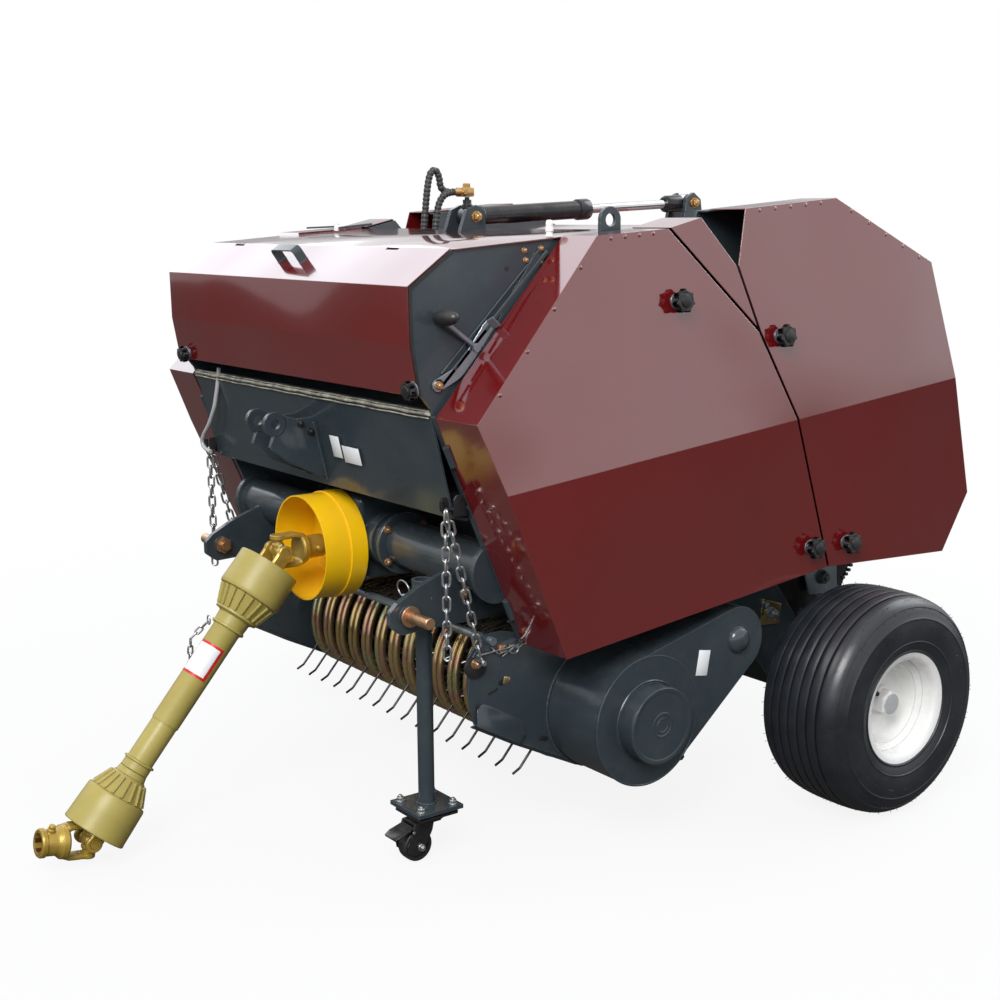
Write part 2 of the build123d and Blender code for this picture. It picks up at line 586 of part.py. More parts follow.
rim_section = [
    (RIM_R, lip - 12), (RIM_R + 14, lip - 4), (RIM_R + 14, lip), (RIM_R - 4, lip - 8),
    (RIM_R - 6, lip - 38), (RIM_R - 22, lip - 44), (RIM_R - 26, 12), (38.0, 12), (38.0, 6), (RIM_R - 22, 6),
    (RIM_R - 22, 38 - lip), (RIM_R - 4, 32 - lip), (RIM_R - 4, 8 - lip), (RIM_R + 14, -lip),
    (RIM_R + 14, 4 - lip), (RIM_R, 12 - lip), (RIM_R, 30 - lip), (RIM_R - 18, 40 - lip),
    (RIM_R - 18, lip - 40), (RIM_R, lip - 34),
]
both("rim", turned_wheel(rim_section))
hub = rod_x(36.0, WHEEL_X - 40, WHEEL_X + 62, 0, AXLE_Z) + rod_x(60.0, WHEEL_X - 2, WHEEL_X + 6, 0, AXLE_Z)
both("hub", hub - rod_x(SPINDLE_R + CLEAR, WHEEL_X - 50, 741, 0, AXLE_Z))

# ================================================================ pickup
pick_line = [(-838.0, 352.0), (-812.0, 292.0), (-600.0, 180.0), (-500.0, 120.0), (-330.0, 140.0),
             (-262.0, 190.0), (-240.0, 430.0), (-300.0, 495.0), (-335.0, 495.0), (-360.0, 436.0),
             (-700.0, 434.0), (-765.0, 448.0), (-805.0, 448.0), (-838.0, 410.0)]
CROP_BAR = (-789.0, 435.0)
CROP_BAR_R = 8.0
pick_out = PICK_IN + PICK_PLATE
pick_side = plate_x(pick_line, PICK_IN, pick_out)
pick_side = pick_side - rod_x(REEL_SHAFT_R + CLEAR, PICK_IN - 5, pick_out + 5, REEL_Y, REEL_Z)
pick_side = pick_side - rod_x(CROP_BAR_R, PICK_IN - 5, pick_out + 5, *CROP_BAR)
for y0, y1, z0, z1 in ((-620.0, -590.0, 400.0, 490.0), (-335.0, -300.0, 455.0, 515.0)):
    pick_side = pick_side + slab(pick_out, FRAME_IN, y0, y1, z0, z1)
pick_side = pick_side + rod_x(4.0, pick_out, CHAIN_X + 5, *CHAIN_FOOT)
pair("pickup_sides", pick_side)

add("crop_bar", rod_x(CROP_BAR_R, -FRAME_IN + 4, FRAME_IN - 4, *CROP_BAR))

band_top = REEL_Z + BAND_R
band_low = REEL_Z - BAND_R
band_front = REEL_Y - BAND_R
BAND_HEEL = (-460.0, band_low)
BAND_TAIL = (BAND_REAR, band_low + 64)
BAND_T = 3.0


def band_face(depth, rear):
    line = [(BAND_REAR, band_top), (band_front, band_top), (band_front, band_low), BAND_HEEL, BAND_TAIL]
    moved = inset(line, [depth, depth, depth, depth, rear])
    bent = FilletPolyline(*moved, radius=BAND_R - depth - 0.5)
    return make_face(bent + Line(bent @ 1, bent @ 0))


band = Plane.YZ * (band_face(0, 0) - band_face(BAND_T, -9))
bands = []
for i in range(TINE_COUNT - 1):
    x = (i - TINE_COUNT / 2 + 1) * TINE_PITCH - BAND_W / 2
    bands.append(Pos(x, 0, 0) * extrude(band, amount=BAND_W, dir=(1, 0, 0)))
cross_bar = slab(-PICK_IN, PICK_IN, BAND_REAR, BAND_REAR + 10, band_top - 16, band_top)
low_bar = slab(-PICK_IN, PICK_IN, BAND_REAR, BAND_REAR + 10, BAND_TAIL[1], BAND_TAIL[1] + 16)
add("pickup_bands", cross_bar + low_bar + bands)

# tine seen from the side, from its bar to its tip, relative to the reel's axis
TINE_LINE = [(-TINE_BAR_R, -11.0), (-173.0, -106.0), (-190.0, -114.0)]
TINE_BARS = 4
reel_half = 430.0
tines = []
for i in range(TINE_COUNT):
    tines.append(swept(TINE_R, TINE_LINE, 8.0, (i - (TINE_COUNT - 1) / 2) * TINE_PITCH))
bar = rod_x(8.0, -reel_half, reel_half, -TINE_BAR_R, -11) + tines
reel = rod_x(25.0, -reel_half, reel_half, 0, 0) + rod_x(REEL_SHAFT_R, -454, FRAME_OUT, 0, 0)
reel = reel + rod_x(100.0, reel_half, reel_half + 4, 0, 0) + rod_x(100.0, -reel_half - 4, -reel_half, 0, 0)
reel = reel + [turned(bar, 0, 0, i * 360.0 / TINE_BARS) for i in range(TINE_BARS)]
add("pickup_reel", Pos(0, REEL_Y, REEL_Z) * reel)

CASE_TOP = (-300.0, 382.0)
case = rod_x(126.0, pick_out, CASE_OUT, REEL_Y, REEL_Z) + rod_x(68.0, pick_out, CASE_OUT, *CASE_TOP)
case = case + plate_x([(-552.0, 390.0), (-312.0, 449.0), (-262.0, 326.0), (-466.0, 157.0)], pick_out, CASE_OUT)
case = case + rod_x(74.0, CASE_OUT - 10, CASE_BOSS_OUT, REEL_Y, REEL_Z)
add("drive_case", case - rod_x(REEL_SHAFT_R + 2, pick_out - 1, FRAME_OUT + 4, REEL_Y, REEL_Z))

# ================================================================ parking stand
PLATE_HALF = 50.0
KING_R = 8.0
caster_y = STAND_Y - CASTER_TRAIL
leg = rod_z(STAND_R, 100, 530, STAND_X, STAND_Y)
leg = leg + slab(STAND_X - PLATE_HALF, STAND_X + PLATE_HALF, STAND_Y - PLATE_HALF, STAND_Y + PLATE_HALF, 100, 108)
leg = leg - rod_z(STAND_R - 3, 108, 540, STAND_X, STAND_Y) - rod_z(KING_R + CLEAR, 90, 110, STAND_X, STAND_Y)
add("stand_leg", leg)

fork = slab(STAND_X - 45, STAND_X + 45, STAND_Y - 45, STAND_Y + 45, 88, 94)
for side in (-1, 1):
    fork = fork + slab(STAND_X + side * 22 - 2, STAND_X + side * 22 + 2, STAND_Y - 45, STAND_Y + 10, 22, 90)
fork = fork + rod_z(KING_R, 90, 112, STAND_X, STAND_Y) + rod_z(KING_R + 3, 109, 114, STAND_X, STAND_Y)
fork = fork + rod_x(5.0, STAND_X - 26, STAND_X + 26, caster_y, CASTER_R)
add("caster_fork", fork)
add("caster_wheel", tube_x(CASTER_R, 5.0 + CLEAR, STAND_X - 14, STAND_X + 14, caster_y, CASTER_R))

# ================================================================ small pieces
# two strands of chain on each side: one hangs free, one holds the pickup
strand_top = (CHAIN_X, CHAIN_TOP[0], CHAIN_TOP[1] - 4.3)
strands = rod_z(CHAIN_R, CHAIN_FREE_END, strand_top[2], CHAIN_X, CHAIN_TOP[0])
strands = strands + bar_between(CHAIN_R, strand_top, (CHAIN_X, CHAIN_FOOT[0], CHAIN_FOOT[1] + 9.5))
strands = strands - rod_y(4.3, -1000, -800, CHAIN_X, CHAIN_TOP[1])
pair("hitch_chains", strands)

twine_line = [(-923.2, 850.0), (-933.0, 701.0), (-904.5, 693.0)]
add("twine_tube", swept(4.0, twine_line, 14.0, -CHAIN_X))

strap_line = [(-816.0, 998.0), (-840.0, 968.0), (-872.0, 934.0), (-911.0, 916.0)]
strap = sheet_x(strap_line, -9.0, FRAME_OUT, FRAME_OUT + 4)
arm = bar_between(4.0, (FRAME_OUT + 8, -836.0, 976.0), (FRAME_OUT + 15, -915.0, 1030.0))
grip = rod_x(9.0, FRAME_OUT + 11, FRAME_OUT + 43, -911.0, 1027.0)
add("twine_arm", strap + arm + grip + rod_x(7.0, FRAME_OUT, FRAME_OUT + 14, -836.0, 976.0))

EYE_AT = (-524.0, 1191.0)
eye = rod_x(24.0, FRAME_IN - 2, FRAME_OUT - 2, *EYE_AT) + slab(FRAME_IN - 2, FRAME_OUT - 2, -548, -500, 1160, 1186)
add("lifting_eye", above_roof(eye - rod_x(12.0, FRAME_IN - 10, FRAME_OUT + 10, *EYE_AT)))

# ================================================================ write
box = Compound([solid for shape in PARTS.values() for solid in shape.solids()]).bounding_box()
centre_y = (box.min.Y + box.max.Y) / 2
os.makedirs("parts", exist_ok=True)
for name, shape in PARTS.items():
    export_step(Pos(0, -centre_y, 0) * shape, "parts/%s.step" % name)
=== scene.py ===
"""Compact round baler: finishes, fine pieces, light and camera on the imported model."""

from __future__ import annotations

import logging
from dataclasses import dataclass, field
from enum import Enum
from functools import cache
from math import cos, pi, radians, sin, sqrt, tau
from typing import Iterable, Sequence

import bmesh
import bpy
from mathutils import Matrix, Vector


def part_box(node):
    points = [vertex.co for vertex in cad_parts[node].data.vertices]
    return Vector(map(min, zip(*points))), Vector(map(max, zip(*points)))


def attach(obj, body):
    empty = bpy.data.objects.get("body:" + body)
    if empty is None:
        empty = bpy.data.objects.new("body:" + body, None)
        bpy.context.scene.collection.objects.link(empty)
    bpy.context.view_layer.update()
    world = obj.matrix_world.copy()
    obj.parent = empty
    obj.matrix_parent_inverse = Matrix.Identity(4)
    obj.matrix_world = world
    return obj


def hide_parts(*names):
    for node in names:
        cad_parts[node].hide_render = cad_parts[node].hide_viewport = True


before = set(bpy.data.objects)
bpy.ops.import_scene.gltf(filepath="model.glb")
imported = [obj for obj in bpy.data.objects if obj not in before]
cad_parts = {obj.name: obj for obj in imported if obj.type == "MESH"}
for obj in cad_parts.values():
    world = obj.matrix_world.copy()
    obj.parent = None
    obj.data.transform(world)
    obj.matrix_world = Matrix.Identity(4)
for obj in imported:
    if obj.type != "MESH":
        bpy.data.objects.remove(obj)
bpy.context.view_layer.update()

log = logging.getLogger("round_baler")

Node = bpy.types.Node
Socket = bpy.types.NodeSocket
Tree = bpy.types.NodeTree
Thing = bpy.types.Object
Vert = bmesh.types.BMVert
Colour = tuple[float, float, float]
Point = tuple[float, float, float]
Pair = tuple[float, float]
Spot = Sequence[float]
Outline = Sequence[Pair]

MM = 0.001
AXLE_SHIFT = sum(corner.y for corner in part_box("tyre_right")) / 2

RIGHT = Vector((1, 0, 0))
REAR = Vector((0, 1, 0))
UP = Vector((0, 0, 1))
SIGNS = (1, -1)


def place(x: float, y: float, z: float) -> Vector:
    """Turn millimetres about the axle line into metres in the frame.

    Args:
        x: distance to the right of the centre plane.
        y: distance behind the axle.
        z: height above the ground.

    Returns:
        The point in the frame.
    """
    return Vector((x * MM, y * MM + AXLE_SHIFT, z * MM))


# ============================== node trees
class NodeSheet:
    """A node tree with short ways to place and join its nodes."""

    def __init__(self, tree: Tree) -> None:
        """Keep the tree that the nodes go into."""
        self.tree = tree

    def put(self, kind: str, inputs: dict | None = None, **settings: object) -> Node:
        """Add a node, set its options and fill or link its inputs.

        Args:
            kind: the node's type name.
            inputs: values or output sockets by input name or number.
            **settings: plain options of the node.

        Returns:
            The new node.
        """
        node = self.tree.nodes.new(kind)
        for key, value in settings.items():
            setattr(node, key, value)
        self.fill(node, inputs or {})
        return node

    def fill(self, node: Node, inputs: dict) -> None:
        """Set or link a node's inputs, given by name or number.

        Args:
            node: the node to fill.
            inputs: values or output sockets by input name or number.
        """
        for key, value in inputs.items():
            if isinstance(value, Socket):
                self.tree.links.new(value, node.inputs[key])
            else:
                node.inputs[key].default_value = value

    def inside(self) -> Socket:
        """Return the position within the object's own space."""
        return self.put("ShaderNodeTexCoord").outputs["Object"]

    def facing(self) -> Socket:
        """Return the surface's own normal."""
        return self.put("ShaderNodeNewGeometry").outputs["Normal"]

    def sum_of(self, operation: str, first: object, second: object = 0.0, clamp: bool = False) -> Socket:
        """Combine two values by an operation and return the result's socket."""
        node = self.put("ShaderNodeMath", {0: first, 1: second}, operation=operation, use_clamp=clamp)
        return node.outputs[0]

    def blend(self, share: object, first: object, second: object) -> Socket:
        """Mix two colours by a share and return the result's socket."""
        node = self.put("ShaderNodeMix", {0: share, 6: first, 7: second}, data_type="RGBA")
        return node.outputs[2]

    def spread(self, value: object, low: float, high: float, start: float = 0.0,
            end: float = 1.0) -> Socket:
        """Map a value from low..high to start..end and return the result's socket."""
        node = self.put("ShaderNodeMapRange", {0: value, 1: low, 2: high, 3: start, 4: end})
        return node.outputs[0]

    def layer(self, share: object, under: Node, over: Node) -> Node:
        """Mix two shaders by a share and return the mixing node."""
        return self.put("ShaderNodeMixShader", {0: share, 1: under.outputs[0], 2: over.outputs[0]})

    def glow(self, colour: object, strength: float = 1.0) -> Node:
        """Add the light of a sky and return its node."""
        return self.put("ShaderNodeBackground", {0: colour, 1: strength})

    def noise(self, where: object, scale: object, detail: float = 3.0, rough: float = 0.55) -> Socket:
        """Add a noise pattern and return its value's socket."""
        values = {"Vector": where, "Scale": scale, "Detail": detail, "Roughness": rough}
        return self.put("ShaderNodeTexNoise", values).outputs["Fac"]


def clean_sheet(owner: bpy.types.Material | bpy.types.World) -> NodeSheet:
    """Empty the node tree of a material or a world.

    Args:
        owner: the material or world.

    Returns:
        The sheet of its empty tree.
    """
    owner.use_nodes = True
    owner.node_tree.nodes.clear()
    return NodeSheet(owner.node_tree)


def add_object(name: str, data: bpy.types.ID) -> Thing:
    """Put new data in the scene as an object.

    Args:
        name: the object's name.
        data: its mesh, lamp or camera.

    Returns:
        The object.
    """
    made = bpy.data.objects.new(name, data)
    bpy.context.scene.collection.objects.link(made)
    return made


def rgba(colour: Colour) -> tuple[float, float, float, float]:
    """Give a colour its alpha."""
    return (*colour, 1.0)


def new_group(name: str, takes: dict[str, object], gives: dict[str, str]) -> tuple[NodeSheet, Node, Node]:
    """Start a shader node group with named sockets.

    Args:
        name: the group's name.
        takes: input names with their default values; a colour has four numbers, a vector three.
        gives: output names with their socket types.

    Returns:
        The sheet to place nodes on, the group's input node and its output node.
    """
    tree = bpy.data.node_groups.new(name, "ShaderNodeTree")
    for key, value in takes.items():
        if isinstance(value, float):
            kind = "NodeSocketFloat"
        else:
            kind = "NodeSocketColor" if len(value) == 4 else "NodeSocketVector"
        socket = tree.interface.new_socket(key, in_out="INPUT", socket_type=kind)
        socket.default_value = value
    for key, kind in gives.items():
        tree.interface.new_socket(key, in_out="OUTPUT", socket_type=kind)
    sheet = NodeSheet(tree)
    return sheet, sheet.put("NodeGroupInput"), sheet.put("NodeGroupOutput")


class Effects:
    """The shader node groups that the finishes share, each made once."""

    @staticmethod
    @cache
    def patches() -> Tree:
        """Soft patches between two near colours.

        Returns:
            The group's tree.
        """
        sheet, enter, leave = new_group(
            "shade_patches",
            {"Colour": (0.5, 0.5, 0.5, 1.0), "Shade": (0.4, 0.4, 0.4, 1.0), "Scale": 6.0},
            {"Colour": "NodeSocketColor", "Mask": "NodeSocketFloat"},
        )
        where = sheet.inside()
        coarse = sheet.noise(where, enter.outputs["Scale"], 4.0, 0.6)
        mask = sheet.spread(coarse, 0.35, 0.68)
        colour = sheet.blend(mask, enter.outputs["Colour"], enter.outputs["Shade"])
        sheet.fill(leave, {"Colour": colour, "Mask": mask})
        return sheet.tree

    @staticmethod
    @cache
    def dust() -> Tree:
        """Pale dust that lies mostly on upper faces.

        Returns:
            The group's tree.
        """
        sheet, enter, leave = new_group(
            "settled_dust",
            {"Colour": (0.5, 0.5, 0.5, 1.0), "Dust": (0.42, 0.38, 0.32, 1.0), "Amount": 0.2},
            {"Colour": "NodeSocketColor", "Mask": "NodeSocketFloat"},
        )
        where = sheet.inside()
        up = sheet.put("ShaderNodeSeparateXYZ", {0: sheet.facing()}).outputs["Z"]
        upward = sheet.spread(up, -0.2, 1.0, 0.25, 1.0)
        grit = sheet.spread(sheet.noise(where, 9.0, 8.0, 0.7), 0.42, 0.72)
        mask = sheet.sum_of("MULTIPLY", sheet.sum_of("MULTIPLY", grit, upward), enter.outputs["Amount"],
            clamp=True)
        colour = sheet.blend(mask, enter.outputs["Colour"], enter.outputs["Dust"])
        sheet.fill(leave, {"Colour": colour, "Mask": mask})
        return sheet.tree

    @staticmethod
    @cache
    def edges() -> Tree:
        """Rounded edges, and a mask of the edges themselves.

        Returns:
            The group's tree.
        """
        sheet, enter, leave = new_group(
            "soft_edges",
            {"Radius": 0.001, "Gain": 6.0},
            {"Normal": "NodeSocketVector", "Edge": "NodeSocketFloat"},
        )
        bevel = sheet.put("ShaderNodeBevel", {"Radius": enter.outputs["Radius"]}, samples=4).outputs[0]
        same = sheet.put("ShaderNodeVectorMath", {0: bevel, 1: sheet.facing()},
            operation="DOT_PRODUCT").outputs["Value"]
        edge = sheet.sum_of("MULTIPLY", sheet.sum_of("SUBTRACT", 1.0, same), enter.outputs["Gain"],
            clamp=True)
        sheet.fill(leave, {"Normal": bevel, "Edge": edge})
        return sheet.tree

    @staticmethod
    @cache
    def ripple() -> Tree:
        """Broad waves of sheet metal and a fine grain on top.

        Returns:
            The group's tree.
        """
        sheet, enter, leave = new_group(
            "sheet_ripple",
            {"Normal": (0.0, 0.0, 1.0), "Wave": 0.001, "Wave Scale": 3.0, "Grain": 0.0001,
                "Grain Scale": 900.0},
            {"Normal": "NodeSocketVector"},
        )
        where = sheet.inside()
        normal = enter.outputs["Normal"]
        for part, detail, rough in (("Wave", 1.0, 0.4), ("Grain", 2.0, 0.5)):
            height = sheet.noise(where, enter.outputs[part + " Scale"], detail, rough)
            normal = sheet.put("ShaderNodeBump", {"Strength": 1.0, "Distance": enter.outputs[part],
                "Height": height, "Normal": normal}).outputs[0]
        sheet.fill(leave, {"Normal": normal})
        return sheet.tree

    @staticmethod
    @cache
    def zinc() -> Tree:
        """The gold, rose and green bands of passivated zinc.

        Returns:
            The group's tree.
        """
        sheet, enter, leave = new_group(
            "zinc_bloom",
            {"Scale": 14.0, "Pale": (0.6, 0.55, 0.45, 1.0), "Strength": 0.6},
            {"Colour": "NodeSocketColor", "Mask": "NodeSocketFloat"},
        )
        where = sheet.inside()
        drift = sheet.noise(where, enter.outputs["Scale"], 3.0, 0.6)
        ramp = sheet.put("ShaderNodeValToRGB", {0: drift})
        stops = ramp.color_ramp.elements
        ends = ((0.30, (0.55, 0.40, 0.16)), (0.76, (0.62, 0.48, 0.22)))
        for stop, (position, colour) in zip(stops, ends):
            stop.position, stop.color = position, rgba(colour)
        for position, colour in ((0.42, (0.72, 0.56, 0.24)), (0.50, (0.66, 0.34, 0.30)),
                (0.57, (0.70, 0.58, 0.28)), (0.66, (0.38, 0.50, 0.32))):
            stops.new(position).color = rgba(colour)
        mixed = sheet.blend(enter.outputs["Strength"], enter.outputs["Pale"], ramp.outputs[0])
        sheet.fill(leave, {"Colour": mixed, "Mask": sheet.spread(drift, 0.35, 0.7)})
        return sheet.tree


# ============================== finishes
@dataclass(frozen=True)
class Finish:
    """A surface: its colours, gloss, unevenness, dust, and a painted highlight along its edges."""

    name: str
    colour: Colour
    shade: Colour
    slot: str | None = None
    gloss: Pair = (0.15, 0.3)
    metallic: float = 0.0
    specular: float = 0.5
    coat: float = 0.0
    coat_ior: float = 1.5
    coat_gloss: float = 0.06
    patch_scale: float = 6.0
    dust: float = 0.0
    dust_colour: Colour = (0.42, 0.38, 0.32)
    edge_radius: float = 0.0012
    # painted highlight: the paler colour that edges are lightened to, and how sharply the edge mask rises
    edge_highlight_colour: Colour | None = None
    edge_highlight_gain: float = 5.0
    wave: float = 0.0
    wave_scale: float = 3.0
    grain: float = 0.00005
    grain_scale: float = 700.0

    def colours(self, sheet: NodeSheet) -> tuple[Socket, Socket]:
        """Lay down the colour, patched with its shade.

        Args:
            sheet: the sheet of the material's nodes.

        Returns:
            The colour's socket and the mask's.
        """
        patch = sheet.put("ShaderNodeGroup", node_tree=Effects.patches())
        sheet.fill(patch, {"Colour": rgba(self.colour), "Shade": rgba(self.shade),
            "Scale": self.patch_scale})
        return patch.outputs["Colour"], patch.outputs["Mask"]

    @cache
    def material(self) -> bpy.types.Material:
        """Build the material, once for each finish.

        Returns:
            The material.
        """
        made = bpy.data.materials.new(self.name)
        sheet = clean_sheet(made)
        colour, mask = self.colours(sheet)
        edges = sheet.put("ShaderNodeGroup", {"Radius": self.edge_radius, "Gain": self.edge_highlight_gain},
            node_tree=Effects.edges())
        # painted highlight: the colour is lightened toward the edge colour along the edges, for light
        # caught on rounded edges
        if self.edge_highlight_colour:
            colour = sheet.blend(edges.outputs["Edge"], colour, rgba(self.edge_highlight_colour))
        if self.dust:
            film = sheet.put("ShaderNodeGroup", {"Colour": colour, "Dust": rgba(self.dust_colour),
                "Amount": self.dust}, node_tree=Effects.dust())
            colour = film.outputs["Colour"]
            mask = sheet.sum_of("MAXIMUM", mask, film.outputs["Mask"])
        ripple = sheet.put("ShaderNodeGroup", {"Normal": edges.outputs["Normal"], "Wave": self.wave,
            "Wave Scale": self.wave_scale, "Grain": self.grain, "Grain Scale": self.grain_scale},
            node_tree=Effects.ripple())
        shader = sheet.put("ShaderNodeBsdfPrincipled", {"Base Color": colour, "Metallic": self.metallic,
            "Specular IOR Level": self.specular, "Roughness": sheet.spread(mask, 0.0, 1.0, *self.gloss),
            "Coat Weight": self.coat, "Coat Roughness": self.coat_gloss, "Coat IOR": self.coat_ior,
            "Normal": ripple.outputs["Normal"], "Coat Normal": ripple.outputs["Normal"]})
        sheet.put("ShaderNodeOutputMaterial", {"Surface": shader.outputs[0]})
        return made


@dataclass(frozen=True)
class ZincFinish(Finish):
    """Passivated zinc, whose colour drifts between gold, rose and green."""

    bloom: float = 0.6

    def colours(self, sheet: NodeSheet) -> tuple[Socket, Socket]:
        """Lay down the colour that drifts in bands.

        Args:
            sheet: the sheet of the material's nodes.

        Returns:
            The colour's socket and the mask's.
        """
        bloom = sheet.put("ShaderNodeGroup", {"Scale": self.patch_scale, "Pale": rgba(self.colour),
            "Strength": self.bloom}, node_tree=Effects.zinc())
        return bloom.outputs["Colour"], bloom.outputs["Mask"]


# painted highlight: the maroon's edges are lightened to a paler red
MAROON = Finish("maroon_gloss_paint", (0.140, 0.0050, 0.0060), (0.124, 0.0042, 0.0050), "maroon_paint",
    gloss=(0.12, 0.17), specular=0.8, coat=1.0, coat_ior=1.75, patch_scale=3.0, dust=0.006,
    edge_highlight_colour=(0.26, 0.07, 0.06), edge_highlight_gain=1.4, edge_radius=0.0016, wave=0.045, wave_scale=1.7,
    grain=0.000012, grain_scale=300.0)
# painted highlight: the slate's edges are lightened to a pale grey
SLATE = Finish("slate_gloss_paint", (0.034, 0.047, 0.056), (0.028, 0.039, 0.048), "slate_paint",
    gloss=(0.12, 0.24), specular=0.6, patch_scale=7.0, dust=0.10, edge_highlight_colour=(0.16, 0.19, 0.22),
    edge_highlight_gain=2.0, wave=0.0015, wave_scale=5.0, grain=0.00004, grain_scale=500.0)
CUP_YELLOW = Finish("cup_yellow_plastic", (0.95, 0.56, 0.004), (0.88, 0.49, 0.003), "yellow_plastic",
    gloss=(0.30, 0.42), patch_scale=9.0, dust=0.05, grain=0.00006, grain_scale=800.0, edge_radius=0.0008)
GUARD_MUSTARD = Finish("guard_mustard_plastic", (0.40, 0.325, 0.082), (0.35, 0.28, 0.068),
    "mustard_plastic", gloss=(0.30, 0.45), patch_scale=12.0, dust=0.10, dust_colour=(0.5, 0.45, 0.3),
    grain=0.00008, grain_scale=900.0)
YOKE_OCHRE = Finish("yoke_ochre_paint", (0.47, 0.31, 0.045), (0.33, 0.21, 0.03), "ochre_paint",
    gloss=(0.25, 0.45), metallic=0.35, patch_scale=40.0, dust=0.25, dust_colour=(0.62, 0.5, 0.3),
    grain=0.00035, grain_scale=260.0)
GOLD_ZINC = ZincFinish("gold_zinc_plate", (0.56, 0.45, 0.25), (0.48, 0.37, 0.20), "gold_zinc",
    gloss=(0.14, 0.30), metallic=0.9, patch_scale=11.0, bloom=0.72, grain=0.00004)
COPPER_ZINC = ZincFinish("copper_zinc_plate", (0.50, 0.27, 0.15), (0.4, 0.22, 0.12), "gold_zinc",
    gloss=(0.25, 0.40), metallic=0.85, patch_scale=30.0, bloom=0.25, grain=0.00004)
BRASS = Finish("brass", (0.62, 0.40, 0.17), (0.50, 0.30, 0.11), "gold_zinc", gloss=(0.2, 0.35),
    metallic=0.95, patch_scale=60.0)
ZINC = Finish("bright_zinc", (0.60, 0.62, 0.63), (0.42, 0.44, 0.46), "zinc", gloss=(0.22, 0.38),
    metallic=0.95, patch_scale=70.0, grain=0.00006, grain_scale=900.0)
DULL_ZINC = Finish("dull_zinc", (0.34, 0.39, 0.44), (0.24, 0.29, 0.33), "zinc", gloss=(0.24, 0.45),
    metallic=0.75, patch_scale=35.0, dust=0.2)
TYRE = Finish("tyre_rubber", (0.0115, 0.0135, 0.0180), (0.018, 0.021, 0.027), "tyre", gloss=(0.27, 0.44),
    specular=0.6, patch_scale=11.0, dust=0.09, dust_colour=(0.20, 0.18, 0.16), grain=0.00012,
    grain_scale=700.0)
RIM_WHITE = Finish("rim_off_white", (0.86, 0.855, 0.84), (0.82, 0.81, 0.79), "white_paint",
    gloss=(0.22, 0.38), patch_scale=14.0, dust=0.30, dust_colour=(0.55, 0.51, 0.45), edge_radius=0.0015)
BLACK_PAINT = Finish("black_gloss_paint", (0.010, 0.010, 0.012), (0.014, 0.014, 0.016), "black_paint",
    gloss=(0.14, 0.28), patch_scale=20.0, dust=0.12)
BLACK_PLASTIC = Finish("black_plastic", (0.012, 0.012, 0.013), (0.018, 0.018, 0.019), "black_rubber",
    gloss=(0.30, 0.45), patch_scale=60.0, dust=0.10, edge_radius=0.0008)
HOSE_BLACK = Finish("hose_rubber", (0.016, 0.017, 0.019), (0.026, 0.028, 0.031), "black_rubber",
    gloss=(0.38, 0.6), patch_scale=60.0, dust=0.2)
CHROME = Finish("chrome_rod", (0.72, 0.73, 0.74), (0.66, 0.67, 0.68), "chrome", gloss=(0.05, 0.12),
    metallic=1.0, patch_scale=30.0)
PALE_TUBE = Finish("pale_painted_tube", (0.50, 0.51, 0.52), (0.42, 0.43, 0.44), "zinc", gloss=(0.3, 0.45),
    patch_scale=30.0)
BLANK_WHITE = Finish("blank_white_sticker", (0.84, 0.85, 0.86), (0.78, 0.79, 0.81), "white_paint",
    gloss=(0.35, 0.5), patch_scale=40.0)
BORDER_RED = Finish("sticker_red", (0.66, 0.015, 0.02), (0.58, 0.012, 0.016), "white_paint",
    gloss=(0.35, 0.5), patch_scale=40.0)
DUSTY_SEAM = Finish("dusty_seam", (0.62, 0.58, 0.46), (0.10, 0.10, 0.10), "slate_paint", gloss=(0.4, 0.7),
    patch_scale=38.0, grain=0.0006, grain_scale=160.0)
ROLLER_STEEL = Finish("roller_steel", (0.11, 0.12, 0.13), (0.07, 0.08, 0.09), "slate_paint",
    gloss=(0.3, 0.5), metallic=0.4, patch_scale=10.0, dust=0.3)
SPLINE_BROWN = Finish("oiled_spline_steel", (0.16, 0.065, 0.03), (0.08, 0.04, 0.025), "ochre_paint",
    gloss=(0.3, 0.5), metallic=0.5, patch_scale=60.0)


class NodeDress:
    """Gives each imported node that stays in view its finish."""

    finishes: dict[Finish, tuple[str, ...]] = {
        MAROON: ("front_cover_right", "front_cover_left", "gate_cover_right", "gate_cover_left",
            "cover_wedges", "hood", "roof", "gate_shell"),
        CUP_YELLOW: ("pto_cup",),
        COPPER_ZINC: ("link_pins",),
        DULL_ZINC: ("twine_arm", "crop_bar"),
        PALE_TUBE: ("twine_tube",),
        RIM_WHITE: ("rim_left", "rim_right", "hub_left", "hub_right"),
        BLACK_PAINT: ("cylinder_barrel", "pickup_reel", "caster_fork"),
        CHROME: ("cylinder_rod",),
        ROLLER_STEEL: ("front_rollers", "gate_rollers"),
        BLACK_PLASTIC: ("caster_wheel",),
        GOLD_ZINC: ("pickup_bands",),
        HOSE_BLACK: ("hoses",),
        TYRE: ("tyre_left", "tyre_right"),
        GUARD_MUSTARD: ("pto_guard_outer", "pto_guard_inner"),
        ZINC: ("hitch_chains",),
    }

    def dress(self) -> None:
        """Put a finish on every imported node."""
        chosen = {name: finish for finish, names in self.finishes.items() for name in names}
        for name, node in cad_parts.items():
            finish = chosen.get(name, YOKE_OCHRE if name.startswith("pto_") else SLATE)
            node.data.materials.clear()
            node.data.materials.append(finish.material())
            log.info("node %s gets %s", name, finish.name)


# ============================== meshes
def ring_axes(axis: Vector, hint: Vector | None = None) -> tuple[Vector, Vector]:
    """Find two directions square to an axis.

    Args:
        axis: the unit axis.
        hint: a direction for the first one to lean to.

    Returns:
        The first direction and the second.
    """
    guide = hint or (UP if abs(axis.z) < 0.9 else REAR)
    first = (guide - axis * guide.dot(axis)).normalized()
    return first, axis.cross(first)


